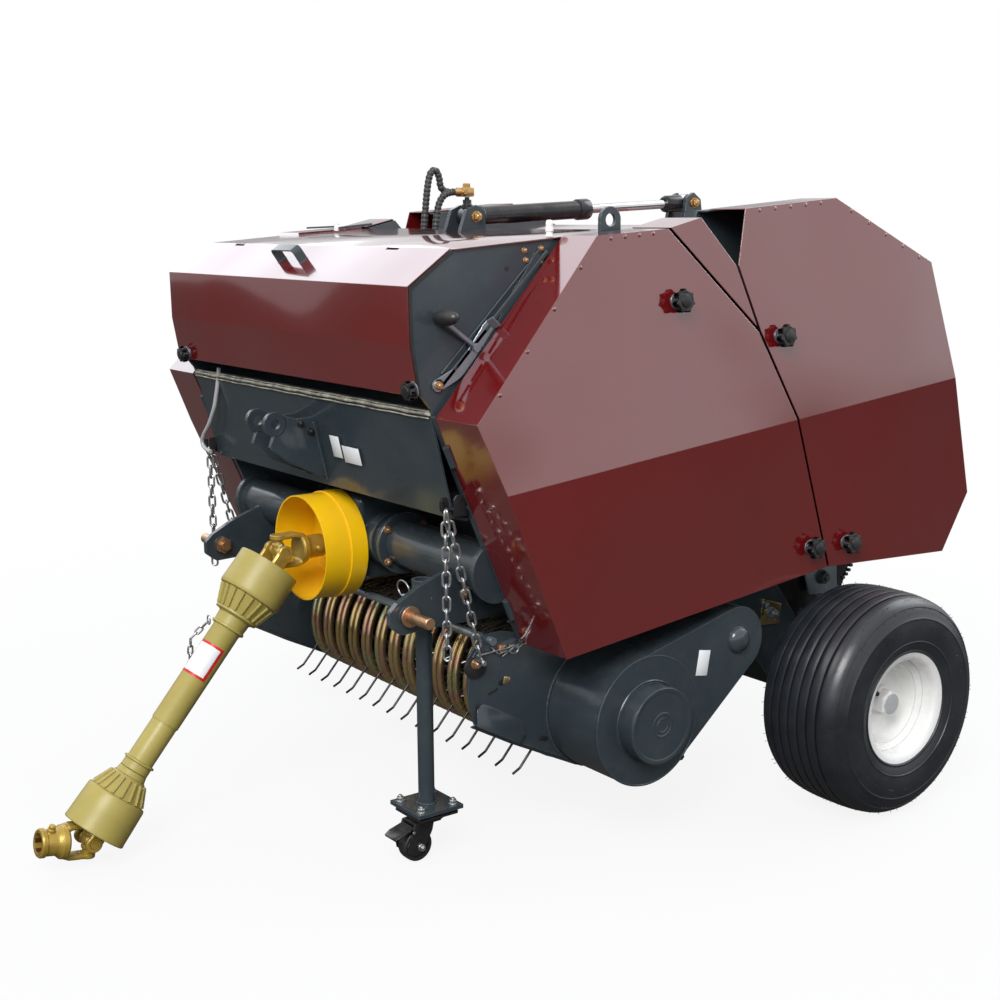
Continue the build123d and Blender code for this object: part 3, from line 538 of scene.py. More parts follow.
def rounded_path(corners: Sequence[Point], radius: float, steps: int = 6) -> list[Vector]:
    """Return a path through corners with each inner corner rounded.

    Args:
        corners: points in millimetres.
        radius: distance from a corner at which its bend starts.
        steps: points on each bend.

    Returns:
        The points of the path.
    """
    spots = [Vector(corner) for corner in corners]
    path = [spots[0]]
    for before, corner, after in zip(spots, spots[1:], spots[2:]):
        start = corner + (before - corner).normalized() * min(radius, (before - corner).length * 0.49)
        end = corner + (after - corner).normalized() * min(radius, (after - corner).length * 0.49)
        for i in range(steps + 1):
            t = i / steps
            path.append(start * (1 - t) ** 2 + corner * 2 * t * (1 - t) + end * t * t)
    path.append(spots[-1])
    return path


def turns(count: int) -> list[float]:
    """Return the angles of equal steps round a full circle."""
    return [tau * i / count for i in range(count)]


def circle(radius: float, count: int = 10) -> list[Pair]:
    """Return the points of a round section."""
    return [(radius * cos(a), radius * sin(a)) for a in turns(count)]


def stadium(straight: float, bend: float) -> list[Pair]:
    """Return a slot's outline: two half circles of a radius, set apart by twice a straight."""
    half = [pi * (i / 8 - 0.5) for i in range(9)]
    return [(end * (straight + bend * cos(a)), end * bend * sin(a)) for end in SIGNS for a in half]


def bead(count: int, swell: float = 0.22, pace: float = 2.4) -> list[float]:
    """Return the uneven sizes of a weld or a dusty seam along its length."""
    return [1.0 + swell * sin(i * pace) for i in range(count)]


def oblong(width: float, height: float) -> list[Pair]:
    """Return the corners of a rectangle about its middle."""
    w, h = width / 2, height / 2
    return [(-w, -h), (w, -h), (w, h), (-w, h)]


def strip(width: float, thick: float, round_off: float = 0.8) -> list[Pair]:
    """Draw a flat bar's section with its corners taken off.

    Args:
        width: its width.
        thick: its thickness.
        round_off: how much each corner loses.

    Returns:
        The section's corners.
    """
    w, t, c = width / 2, thick / 2, min(round_off, thick * 0.3)
    return [(w, -t + c), (w, t - c), (w - c, t), (-w + c, t), (-w, t - c), (-w, -t + c), (-w + c, -t),
        (w - c, -t)]


class Form:
    """A mesh under construction, in millimetres about the axle line."""

    def __init__(self) -> None:
        """Start with nothing."""
        self.mesh = bmesh.new()
        self.slot = 0

    def _face(self, corners: Sequence[Vert]) -> None:
        """Add one face in the current material slot."""
        if len(set(corners)) > 2:
            self.mesh.faces.new(list(dict.fromkeys(corners))).material_index = self.slot

    def _rows(self, rows: list[list[Vert]], wrap: bool) -> None:
        """Join rows of vertices by faces.

        Args:
            rows: the rings of vertices in order.
            wrap: whether the last joins the first.
        """
        pairs = list(zip(rows, rows[1:])) + ([(rows[-1], rows[0])] if wrap else [])
        for low, high in pairs:
            count = max(len(low), len(high))
            for i in range(count):
                j = (i + 1) % count
                self._face([low[i % len(low)], low[j % len(low)], high[j % len(high)], high[i % len(high)]])

    def lathe(self, profile: Outline, origin: Spot, axis: Spot, count: int = 40, closed: bool = False,
            caps: bool = True) -> Form:
        """Turn a profile about an axis.

        Args:
            profile: radius and distance along the axis.
            origin: the point that distances are measured from.
            axis: the axis direction.
            count: sides of the ring.
            closed: the profile is a loop, as on a tyre.
            caps: close open ends.

        Returns:
            This form.
        """
        way = Vector(axis).normalized()
        first, second = ring_axes(way)
        rows = []
        for radius, along in profile:
            middle = Vector(origin) + way * along
            if radius < 1e-6:
                rows.append([self.mesh.verts.new(middle)])
                continue
            rows.append([self.mesh.verts.new(middle + (first * cos(a) + second * sin(a)) * radius)
                for a in turns(count)])
        self._rows(rows, closed)
        if caps and not closed:
            for row in (rows[0], rows[-1]):
                if len(row) > 2:
                    self._face(row)
        return self

    def sweep(self, path: Sequence[Spot], section: Outline, hint: Spot | None = None, closed: bool = False,
            sizes: Spot | None = None) -> Form:
        """Carry a section along a path.

        Args:
            path: points in millimetres.
            section: the section's corners.
            hint: direction that the section's first axis lies near at the start.
            closed: the path is a loop.
            sizes: scale of the section at each point.

        Returns:
            This form.
        """
        spots = [Vector(spot) for spot in path]
        last = len(spots) - 1
        rows: list[list[Vert]] = []
        first: Vector | None = Vector(hint) if hint else None
        for i, spot in enumerate(spots):
            back = spots[i - 1] if (i or closed) else spot
            ahead = spots[(i + 1) % len(spots)] if (i < last or closed) else spot
            way = (ahead - back).normalized()
            first, second = ring_axes(way, first)
            scale = sizes[i] if sizes else 1.0
            rows.append([self.mesh.verts.new(spot + (first * a + second * b) * scale) for a, b in section])
        self._rows(rows, closed)
        if not closed:
            self._face(rows[0])
            self._face(rows[-1])
        return self

    def plate(self, outline: Outline, thick: float, origin: Spot, right: Spot, up: Spot,
            bevel: float = 0.8) -> Form:
        """Add a flat plate with softened edges.

        Args:
            outline: corners as distances along right and up.
            thick: thickness, half to each side of the origin's plane.
            origin: where the outline's zero lies.
            right: first direction of the plane.
            up: second direction of the plane.
            bevel: width of the softened edge.

        Returns:
            This form.
        """
        a, b = Vector(right).normalized(), Vector(up).normalized()
        across = a.cross(b)
        sides = []
        for shift in (-thick / 2, thick / 2):
            middle = Vector(origin)
            sides.append([self.mesh.verts.new(middle + a * u + b * v + across * shift) for u, v in outline])
        before = set(self.mesh.faces)
        self._rows(sides, False)
        self._face(sides[0])
        self._face(sides[1])
        if bevel:
            edges = dict.fromkeys(e for f in self.mesh.faces if f not in before for e in f.edges)
            bmesh.ops.bevel(self.mesh, geom=list(edges), offset=bevel, segments=2, profile=0.6,
                affect="EDGES")
        return self

    def upright(self, outline: Outline, thick: float, origin: Spot, bevel: float = 0.8) -> Form:
        """Add a plate that stands along the machine, outlined by distances rearward and up."""
        return self.plate(outline, thick, origin, REAR, UP, bevel)

    def box(self, low: Point, high: Point, bevel: float = 1.0) -> Form:
        """Add a block between two corners, with softened edges."""
        outline = [(low[0], low[1]), (high[0], low[1]), (high[0], high[1]), (low[0], high[1])]
        return self.plate(outline, high[2] - low[2], (0, 0, (low[2] + high[2]) / 2), RIGHT, REAR, bevel)

    def film(self, origin: Vector, way: Vector, radius: float, arc: Pair, along: Pair,
            thick: float = 0.25) -> None:
        """Lay a thin curved film on a tube.

        Args:
            origin: the point that distances are measured from.
            way: the tube's direction.
            radius: the film's outer radius.
            arc: its first and last angle in degrees, from the right.
            along: its start and end along the tube.
            thick: its thickness.
        """
        steps = 16
        start, end = (radians(a) for a in arc)
        section = [(along[0], radius), (along[0], radius - thick), (along[1], radius - thick),
            (along[1], radius)]
        rows = []
        for i in range(steps + 1):
            turn = start + (end - start) * i / steps
            out = RIGHT * cos(turn) + way.cross(RIGHT) * sin(turn)
            rows.append([self.mesh.verts.new(origin + way * a + out * r) for a, r in section])
        self._rows(rows, False)
        self._face(rows[0])
        self._face(rows[-1])

    def hexagon(self, across: float, height: float, origin: Spot, axis: Spot) -> Form:
        """Add a hexagon head or nut that stands on a face.

        Args:
            across: its width over two flats.
            height: its height.
            origin: the middle of its foot.
            axis: the way it stands.

        Returns:
            This form.
        """
        r = across / sqrt(3)
        profile = [(0, 0), (r, 0), (r, height * 0.82), (r * 0.86, height), (0, height)]
        return self.lathe(profile, origin, axis, 6)

    def bolt(self, across: float, origin: Spot, axis: Spot, stud: float = 0.0) -> Form:
        """Add a washer, a hexagon head and the end of its stud.

        Args:
            across: the head's width over two flats.
            origin: the middle of the washer's foot.
            axis: the way it stands.
            stud: how far the stud stands out of the head.

        Returns:
            This form.
        """
        way = Vector(axis).normalized()
        washer = across * 0.68
        self.lathe([(0, 0), (washer, 0), (washer, across * 0.12), (0, across * 0.12)], origin, axis, 20)
        self.hexagon(across, across * 0.55, Vector(origin) + way * across * 0.1, axis)
        if stud:
            tip = across * 0.55 + stud
            self.lathe([(0, 0), (across * 0.3, 0), (across * 0.3, tip - 1), (across * 0.24, tip), (0, tip)],
                origin, axis, 14)
        return self

    def make(self, name: str, body: str, *finishes: Finish, replaces: Iterable[str] = (),
            sharp: float = 32.0) -> Thing:
        """Turn the form into a piece of the object.

        Args:
            name: the piece's name.
            body: the body that it rides on.
            *finishes: the finishes of its material slots.
            replaces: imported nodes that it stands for.
            sharp: edges that turn more than this many degrees stay sharp.

        Returns:
            The piece.
        """
        bmesh.ops.remove_doubles(self.mesh, verts=self.mesh.verts, dist=0.001)
        bmesh.ops.recalc_face_normals(self.mesh, faces=self.mesh.faces)
        for vert in self.mesh.verts:
            vert.co = place(*vert.co)
        data = bpy.data.meshes.new(name)
        self.mesh.to_mesh(data)
        self.mesh.free()
        data.shade_smooth()
        data.set_sharp_from_angle(angle=radians(sharp))
        for finish in finishes:
            data.materials.append(finish.material())
        piece = add_object(name, data)
        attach(piece, body)
        for node in replaces:
            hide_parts(node)
        log.info("piece %s on %s, %d faces", name, body, len(data.polygons))
        return piece


# ============================== covers and hood
class Side(Enum):
    """The two sides of the machine."""

    RIGHT = 1
    LEFT = -1

    @property
    def word(self) -> str:
        """The side's name as it stands in names."""
        return self.name.lower()


@dataclass
class StarKnob:
    """A moulded knob with seven lobes on a short stud."""

    radius: float = 19.0
    lobe: float = 3.4
    lobes: int = 7
    thick: float = 15.0
    stand_off: float = 11.0

    def add(self, form: Form, spot: Spot, axis: Spot) -> None:
        """Add the knob to a form.

        Args:
            form: the form that takes it.
            spot: the point of the panel under it.
            axis: the way that it stands out.
        """
        way = Vector(axis).normalized()
        first, second = ring_axes(way)
        foot = Vector(spot)
        form.slot = 1
        form.lathe([(0, 0), (15, 0), (15, 1.6), (9, 2), (9, 4), (0, 4)], foot, way, 24)
        form.slot = 0
        form.lathe([(0, 2), (9.5, 2), (8.5, self.stand_off), (0, self.stand_off + 2)], foot, way, 24)
        outline = []
        for turn in turns(self.lobes * 10):
            reach = self.radius + self.lobe * cos(self.lobes * turn)
            outline.append((reach * cos(turn), reach * sin(turn)))
        form.plate(outline, self.thick, foot + way * (self.stand_off + self.thick / 2), first, second, 2.2)
        top = self.stand_off + self.thick
        form.lathe([(0, top - 1), (12, top - 1), (11, top + 2.4), (7, top + 3.4), (0, top + 3.6)], foot,
            way, 28)


@dataclass
class Covers:
    """Knobs, washers and pressed marks of the four side covers."""

    crease_x: float = 621.0
    crease_y: float = -867.0
    crease_z: float = 738.0
    crease_rise: float = 0.1013
    upper_lean: float = 0.104
    lower_lean: float = 0.020
    knob: StarKnob = field(default_factory=StarKnob)
    knob_spots: dict[str, list[Pair]] = field(default_factory=lambda: {
        "front_cover": [(-470, 1046), (-119, 547.5)],
        "gate_cover": [(-211, 971), (-11.5, 543)],
    })

    def skin_x(self, y: float, z: float) -> float:
        """Return how far out the cover's skin lies at a height and a distance along."""
        above = (z - self.crease_z) - self.crease_rise * (y - self.crease_y)
        return self.crease_x - (self.upper_lean * above if above > 0 else -self.lower_lean * above)

    def knobs(self, side: Side) -> None:
        """Put the knobs on the covers of one side.

        Args:
            side: the side.
        """
        for cover, spots in self.knob_spots.items():
            form = Form()
            for y, z in spots:
                self.knob.add(form, (side.value * self.skin_x(y, z), y, z), (side.value, 0, 0.06))
            body = f"{cover}_{side.word}"
            form.make(f"{cover}_knobs_{side.word}", body, BLACK_PLASTIC, DULL_ZINC)

    def spot_marks(self, side: Side) -> None:
        """Press a row of small marks along the upper folded edges of one side.

        Args:
            side: the side.
        """
        runs = {
            "front_cover": [((-632, 1158), (-500, 1168), 4), ((-655, 1145), (-905, 872), 4)],
            "gate_cover": [((-270, 1205), (-60, 1222), 5), ((-20, 1217), (232, 1099), 5)],
        }
        for cover, lines in runs.items():
            form = Form()
            for start, end, count in lines:
                for i in range(count):
                    t = (i + 0.5) / count
                    y, z = start[0] + (end[0] - start[0]) * t, start[1] + (end[1] - start[1]) * t
                    x = side.value * (self.skin_x(y, z) - 0.3)
                    form.lathe([(4.5, 0), (3.6, 0.5), (2, 0.9), (0, 1)], (x, y, z), (side.value, 0, 0.1),
                        14)
            form.make(f"{cover}_spot_marks_{side.word}", f"{cover}_{side.word}", MAROON)

    def build(self) -> None:
        """Build both sides."""
        for side in Side:
            self.knobs(side)
            self.spot_marks(side)


@dataclass
class Hood:
    """Handle, knobs and the black strips of painted shade at the ends of the twine box's hood."""

    top: Pair = (-883.0, 1145.5)
    brow: Pair = (-971.0, 1084.0)
    chin: Pair = (-970.0, 986.0)
    foot: Pair = (-955.0, 898.0)
    half: float = 476.0
    handle_ends: Pair = (-44.0, 42.0)
    handle_height: float = 30.0
    handle_foot: Point = (0.0, -925.0, 1116.15)
    knob_at: tuple[Point, ...] = ((470.0, -957.5, 910.0), (-433.0, -957.5, 910.0))

    def handle(self) -> None:
        """Bend the strap handle that stands on the sloping face."""
        slope = Vector((0, self.top[0] - self.brow[0], self.top[1] - self.brow[1])).normalized()
        out = Vector((0, -slope.z, slope.y))
        foot = Vector(self.handle_foot) + out * 0.2
        left, right = (foot + RIGHT * x for x in self.handle_ends)
        corners = [left, left + out * self.handle_height, right + out * self.handle_height, right]
        form = Form()
        form.sweep(rounded_path(corners, 9, 6), strip(20, 3.2), hint=slope)
        for end in (left, right):
            form.sweep([end - slope * 10, end + slope * 10], circle(2.4, 8))
        form.make("hood_handle", "hood", SLATE)

    def knobs(self) -> None:
        """Put the two locking knobs at the lower corners."""
        form = Form()
        small = StarKnob(radius=15, lobe=2.8, thick=12, stand_off=5)
        for spot in self.knob_at:
            small.add(form, spot, (0, -1, -0.15))
        form.make("hood_knobs", "hood", BLACK_PLASTIC, DULL_ZINC)

    def end_shade_strips(self) -> None:
        """Lay a black strip inside each end of the hood, painted shade for the shadowed gap there."""
        line = [self.top, self.brow, self.chin, self.foot]
        form = Form()
        for x in (-self.half + 1.6, self.half - 1.6):
            path = [Vector((x, y, z)) for y, z in line]
            inner = [spot + Vector((0, 5.6, -3.4 if i < 2 else 0)) for i, spot in enumerate(path)]
            # painted shade: black strips stand for the shadow in the gaps at the hood's ends
            form.sweep(inner, [(2, -2.6), (2, 2.6), (-2, 2.6), (-2, -2.6)], hint=RIGHT)
        form.make("hood_end_gap_shade", "hood", BLACK_PLASTIC)

    def build(self) -> None:
        """Build the hood's pieces."""
        self.handle()
        self.knobs()
        self.end_shade_strips()


# ============================== front of the frame
@dataclass
class FrontFrame:
    """Bolts, welds, blank stickers and hooks on the fixed front."""

    plate_x: float = 474.0
    plate_top: Pair = (-923.0, 862.0)
    plate_lean: float = 44.0 / 186.0
    tube_y: float = -782.0
    tube_z: float = 566.0
    ear_x: float = 36.0
    ear_eye: Pair = (-998.0, 808.0)

    def plate_y(self, z: float) -> float:
        """Return how far to the rear the front plate's skin lies at a height."""
        return self.plate_top[0] + (self.plate_top[1] - z) * self.plate_lean

    def side_bolts(self) -> None:
        """Bolt the box's side plates, and paint the shade inside their holes as thin black discs."""
        form = Form()
        for s in SIGNS:
            x = s * self.plate_x
            for y, z in ((-725, 1139), (-688, 1142), (-722, 1122), (-689, 1118)):
                form.bolt(8, (x, y, z), (s, 0, 0), 2)
        form.make("side_plate_bolts", "frame", COPPER_ZINC)
        # painted shade: thin black discs stand for the dark inside of the holes
        holes = Form()
        for s in SIGNS:
            for y, z, r in ((-763, 1109, 4.5), (-905, 905, 3.5), (-893, 930, 3)):
                holes.lathe([(r, 0), (r, 0.5), (0, 0.5)], (s * self.plate_x, y, z), (s, 0, 0), 16)
        holes.make("side_plate_hole_shade", "frame", BLACK_PLASTIC)

    def stickers(self) -> None:
        """Stick the blank notices on the front plate and the drive case."""
        rise = Vector((0, -self.plate_lean, 1)).normalized()
        out = Vector((0, -1, -self.plate_lean)).normalized()
        form = Form()
        for x, z, width, height in ((111, 766, 34, 44), (165, 755, 62, 34)):
            centre = Vector((x, self.plate_y(z), z)) + out * 5.6
            form.plate(oblong(width, height), 0.5, centre, RIGHT, rise, 0.12)
        form.make("front_plate_stickers", "frame", BLANK_WHITE)

    def seam(self) -> None:
        """Lay the dusty folded seam along the front plate's upper edge, and above it a black strip of
        painted shade for the dark gap.
        """
        form = Form()
        count = 41
        lean = (0, 0.24, -1)
        strips = (
            (0, -911, 867.2, 0.5, strip(25, 2.6), (0, 1, -0.17), None),
            (0, -925.6, 857.4, 0.5, strip(2.4, 1.8), lean, None),
            (0, -923.8, 864.5, 0.5, circle(2.9, 8), None, bead(count, 0.22, 2.1)),
            # painted shade: this black strip stands for the shadowed gap above the seam
            (1, -925, 860.2, 0, strip(3.4, 1.6), lean, None),
        )
        for slot, y, z, wander, section, hint, sizes in strips:
            form.slot = slot
            path = [(-466 + 23.3 * i, y, z + wander * sin(i * 1.3)) for i in range(count)]
            form.sweep(path, section, hint=hint, sizes=sizes)
        form.make("front_plate_seam", "frame", DUSTY_SEAM, BLACK_PAINT)

    def ears(self) -> None:
        """Cut the two top link ears with their rounded noses, bolt them and weld them."""
        form, bolts, weld = Form(), Form(), Form()
        inner, outer = 9.8, 24
        hollow = [(outer * 0.96 * cos(a), outer * 0.96 * sin(a))
            for a in (radians(-100 + 12.5 * i) for i in range(13))]
        body = hollow + [(46, 6), (86, 9), (94, -2), (118, -116), (93, -108), (30, -80), (-12, -44)]
        for s in SIGNS:
            eye = (s * self.ear_x, *self.ear_eye)
            form.upright(body, 10, eye)
            form.lathe([(inner, -5), (outer - 0.8, -5), (outer, -4.2), (outer, 4.2), (outer - 0.8, 5),
                (inner, 5)], eye, RIGHT, 48, closed=True)
            for y, z in ((-944, 806), (-922, 788)):
                bolts.bolt(11, (s * 41, y, z), (s, 0, 0), 3)
            for edge in (30.2, 41.8):
                path = [(s * edge, self.plate_y(z) - 5.2, z) for z in (806 - i * 4 for i in range(30))]
                weld.sweep(path, circle(2.6, 7), sizes=bead(30))
        form.make("top_link_plates", "frame", SLATE, replaces=["top_link_ears"])
        bolts.make("top_link_bolts", "frame", BLACK_PAINT)
        weld.make("top_link_welds", "frame", SLATE)

    def tube_bolts(self) -> None:
        """Bolt the drive tubes' inner flanges and close their outer ends."""
        form, ring = Form(), Form()
        line = (0, self.tube_y, self.tube_z)
        for s in SIGNS:
            ring.lathe([(46.4, 148), (61, 148), (62, 149), (62, 157), (61, 158), (46.4, 158)], line,
                (s, 0, 0), 64, closed=True)
            ring.lathe([(0, 466), (57, 466), (58.5, 467), (58.5, 470), (57, 471), (0, 471)], line,
                (s, 0, 0), 48)
            for a in map(radians, (38, 142, 218, 322)):
                spot = (s * 158, self.tube_y + 53 * cos(a), self.tube_z + 53 * sin(a))
                form.bolt(12, spot, (s, 0, 0), 2.5)
        ring.make("drive_tube_flanges", "frame", SLATE)
        form.make("drive_tube_bolts", "frame", COPPER_ZINC)

    def side_rails(self) -> None:
        """Press the rail that runs down the box's side plates, and paint the shade in the slot beside it as
        a thin black strip.
        """
        rail, slot = Form(), Form()
        lines = ((rail, 3, (-676, 1136), (-905, 915), strip(9, 6, 1.5)),
            (rail, 2, (-690, 1142), (-905, 934), strip(4, 4, 1)),
            # painted shade: the slot is a thin black strip standing for the dark inside it
            (slot, 0.4, (-716, 1073), (-792, 996), strip(8, 1, 0.4)))
        for s in SIGNS:
            for form, proud, start, end, section in lines:
                x = s * (self.plate_x + proud)
                form.sweep([(x, *start), (x, *end)], section, hint=(0, 0.7, -0.7))
        rail.make("side_plate_rails", "frame", SLATE)
        slot.make("side_plate_slot_shade", "frame", BLACK_PLASTIC)

    def chain_hooks(self) -> None:
        """Bend the flat hooks that carry the pickup chains."""
        form = Form()
        for s in SIGNS:
            x = s * 471
            corners = [(x, -861, 694), (x, -905, 694), (x, -905, 712)]
            form.sweep(rounded_path(corners, 7, 5), circle(4.3, 12))
            form.upright([(-14, -17), (12, -17), (12, 22), (-8, 22), (-14, 14)], 5, (s * 475.5, -869, 698),
                1)
            form.upright([(-15, -9), (0, -12), (0, 16), (-15, 16)], 4.5, (s * 463.5, -886, 700), 1)
        form.make("chain_hooks", "frame", BLACK_PAINT)

    def build(self) -> None:
        """Build all pieces of the front."""
        self.side_bolts()
        self.stickers()
        self.seam()
        self.ears()
        self.tube_bolts()
        self.side_rails()
        self.chain_hooks()


@dataclass
class PickupChains:
    """Welded chains: on each side one strand hangs free and one holds the pickup."""

    wire: float = 2.45
    link_length: float = 33.0
    link_width: float = 18.0
    hook: Point = (471.0, -897.0, 689.5)
    free_links: int = 12
    held_links: int = 12
    foot: Point = (471.0, -825.0, 414.5)

    def link(self, form: Form, centre: Vector, way: Vector, across: Vector) -> None:
        """Add one oval link.

        Args:
            form: the form that takes it.
            centre: its middle.
            way: the direction of its length.
            across: the direction of its width.
        """
        bend = self.link_width / 2 - self.wire
        straight = self.link_length / 2 - self.wire - bend
        path = [centre + way * a + across * b for a, b in stadium(straight, bend)]
        form.sweep(path, circle(self.wire, 8), hint=way.cross(across), closed=True)

    def strand(self, form: Form, top: Vector, foot: Vector, count: int, twist: float) -> None:
        """Hang a strand of links, each turned a quarter from the last.

        Args:
            form: the form that takes the links.
            top: the upper end.
            foot: the lower end.
            count: how many links there are.
            twist: the first link's turn, in radians.
        """
        way = (foot - top).normalized()
        pitch = (foot - top).length / count
        first, second = ring_axes(way, RIGHT)
        for i in range(count):
            turn = twist + (pi / 2 if i % 2 else 0) + 0.10 * sin(i * 1.7 + twist * 3)
            across = first * cos(turn) + second * sin(turn)
            self.link(form, top + way * pitch * (i + 0.5), way, across)

    def build(self) -> None:
        """Hang both strands on both sides."""
        form = Form()
        for s in SIGNS:
            top = Vector((s * self.hook[0], self.hook[1], self.hook[2] + 4))
            foot = Vector((s * self.foot[0], self.foot[1], self.foot[2] - 1))
            self.strand(form, top, Vector((top.x, top.y, top.z - 22.5 * self.free_links)), self.free_links,
                0.75)
            self.strand(form, top + Vector((0, 3, 0)), foot, self.held_links + 1, 0.45)
            x, y, z = s * self.foot[0], self.foot[1], self.foot[2] - 9.5
            bow = [(x - 7, y, z), (x - 7, y - 3, z + 9), (x, y - 4.5, z + 15), (x + 7, y - 3, z + 9),
                (x + 7, y, z)]
            form.sweep(rounded_path(bow, 5, 4), circle(2.8, 10))
            form.hexagon(10, 5, (x + s * 9, y, z), (s, 0, 0))
        form.make("pickup_chains", "frame", ZINC, replaces=["hitch_chains"])


@dataclass
class Hitch:
    """Spring pins, washers, nuts and bracket bolts of the lower hitch."""

    pin_y: float = -924.0
    pin_z: float = 490.0
    nut_x: float = 372.8
    washer_x: float = 393.2
    tip_x: float = 456.9
    bracket_bolts: tuple[Pair, ...] = ((-800, 512), (-735, 545))

    def build(self) -> None:
        """Build the washers, the spring pin and the brackets' bolts."""
        form = Form()
        for s in SIGNS:
            washer, tip, nut = ((s * x, self.pin_y, self.pin_z)
                for x in (self.washer_x, self.tip_x, self.nut_x))
            form.lathe([(11.2, 0), (19.5, 0), (20, 0.8), (20, 3.2), (19, 4), (11.2, 4)], washer, (s, 0, 0),
                36, caps=False)
            form.lathe([(11, 0), (11, 1.2), (9.8, 2.4), (0, 2.6)], tip, (s, 0, 0), 36)
            form.hexagon(30, 12, nut, (-s, 0, 0))
            for y, z in self.bracket_bolts:
                form.bolt(15, (s * 385, y, z), (s, 0, 0), 4)
        form.make("link_pin_fittings", "frame", COPPER_ZINC)
        ring = Form()
        loop = [(326 + 20 * cos(a), -895 - 2 * sin(a), 524 + 16 * sin(a)) for a in turns(28)]
        ring.sweep(loop, circle(1.6, 8), closed=True)
        ring.sweep([(322, -893, 510), (352, -880, 512), (384, -868, 514)], circle(4.2, 10))
        ring.make("stand_spring_pin", "frame", ZINC)


# ============================== power shaft
@dataclass
class ShaftLine:
    """Where the hanging power shaft lies."""

    joint: Point = (0.0, -980.0, 549.0)
    fall: float = 49.8
    gap: float = 652.0
    rise: float = 10.0

    @property
    def way(self) -> Vector:
        """The direction from the near joint down the shaft."""
        a = radians(self.fall)
        return Vector((0, -cos(a), -sin(a)))

    @property
    def far(self) -> Vector:
        """The middle of the far joint."""
        return Vector(self.joint) + self.way * self.gap

    @property
    def far_way(self) -> Vector:
        """The direction of the far yoke."""
        a = radians(self.rise)
        return Vector((0, -cos(a), sin(a)))


@dataclass
class Yoke:
    """A forged yoke: a hub, two curved arms and their eyes."""

    arm_out: float = 29.0
    arm_thick: float = 10.0
    arm_width: float = 31.0
    eye: float = 15.8
    hub: float = 24.0
    length: float = 96.0
    bore: float = 0.0

    def add(self, form: Form, joint: Vector, way: Vector, across: Vector) -> None:
        """Add the yoke to a form.

        Args:
            form: the form that takes it.
            joint: the middle of its cross.
            way: from the cross toward its hub.
            across: the line of its pins.
        """
        profile = [(self.hub + 6, 44), (self.hub + 8, 47), (self.hub + 7, 56), (self.hub + 1, 63),
            (self.hub, 66), (self.hub, self.length - 2), (self.hub - 2, self.length)]
        if self.bore:
            profile = [(0, 50), (self.hub + 4, 43)] + profile
            profile += [(self.bore, self.length), (self.bore, 58), (0, 58)]
        else:
            profile = [(0, 43)] + profile + [(0, self.length)]
        form.lathe(profile, joint, way, 36)
        broad = way.cross(across).normalized()
        out, half = self.arm_out, self.arm_thick / 2
        stations = ((out - 13, 55), (out - 4, 48), (out, 38), (out + 0.5, 26), (out, 13), (out, 2))
        swell = (1.18, 1.12, 1.02, 0.96, 0.95, 0.95)
        section = strip(self.arm_width, self.arm_thick, 3)
        eye = [(9.2, -half), (self.eye - 1.5, -half), (self.eye, -half + 1.5), (self.eye, half - 1.5),
            (self.eye - 1.5, half), (9.2, half)]
        for s in (-1, 1):
            arm = [joint + across * s * a + way * b for a, b in stations]
            form.sweep(arm, section, hint=broad, sizes=swell)
            form.lathe(eye, joint + across * s * out, across, 32, closed=True)


@dataclass
class CrossJoint:
    """The cross between two yokes with its caps, rings and grease nipple."""

    reach: float = 33.0

    def make(self, name: str, body: str, node: str, joint: Vector, one: Vector, other: Vector) -> None:
        """Build one cross and put it in place of its plain node.

        Args:
            name: the piece's name.
            body: the body that it rides on.
            node: the plain node that it replaces.
            joint: the middle of the joint.
            one: the line of one pair of arms.
            other: the line of the other pair.
        """
        form = Form()
        for way in (one, other):
            for s in (-1, 1):
                form.lathe([(0, 8), (11.5, 8), (12.5, 11), (12, 15), (9.4, 18), (9, 22),
                    (9, self.reach - 1), (8, self.reach), (0, self.reach)], joint, way * s, 28)
        form.lathe([(0, -12), (9, -11), (13.5, -6), (14.5, 0), (13.5, 6), (9, 11), (0, 12)], joint,
            one.cross(other), 24)
        skew = (one + other).normalized()
        form.slot = 1
        form.lathe([(3.4, 10), (3.4, 17), (2.4, 18.5), (2.4, 21), (3, 22), (0, 24)], joint, skew, 12)
        form.make(name, body, YOKE_OCHRE, ZINC, replaces=[node])


@dataclass
class GuardCone:
    """The ribbed cone of a shaft guard between its collar and its bell."""

    ribs: int = 18
    rib_width: float = 5.0
    rib_proud: float = 3.6

    def add_ribs(self, form: Form, origin: Vector, way: Vector, start: Pair, end: Pair) -> None:
        """Stand the ribs on the cone.

        Args:
            form: the form that takes them.
            origin: the point that distances are measured from.
            way: the shaft's direction.
            start: radius and distance at one end.
            end: radius and distance at the other.
        """
        first, second = ring_axes(way)
        for i in range(self.ribs):
            turn = tau * (i + 0.5) / self.ribs
            out = first * cos(turn) + second * sin(turn)
            side = way.cross(out)
            line = [origin + out * (start[0] + self.rib_proud / 2) + way * start[1],
                origin + out * (end[0] + self.rib_proud / 2) + way * end[1]]
            form.sweep(line, strip(self.rib_width, self.rib_proud + 1.6, 0.9), hint=side)


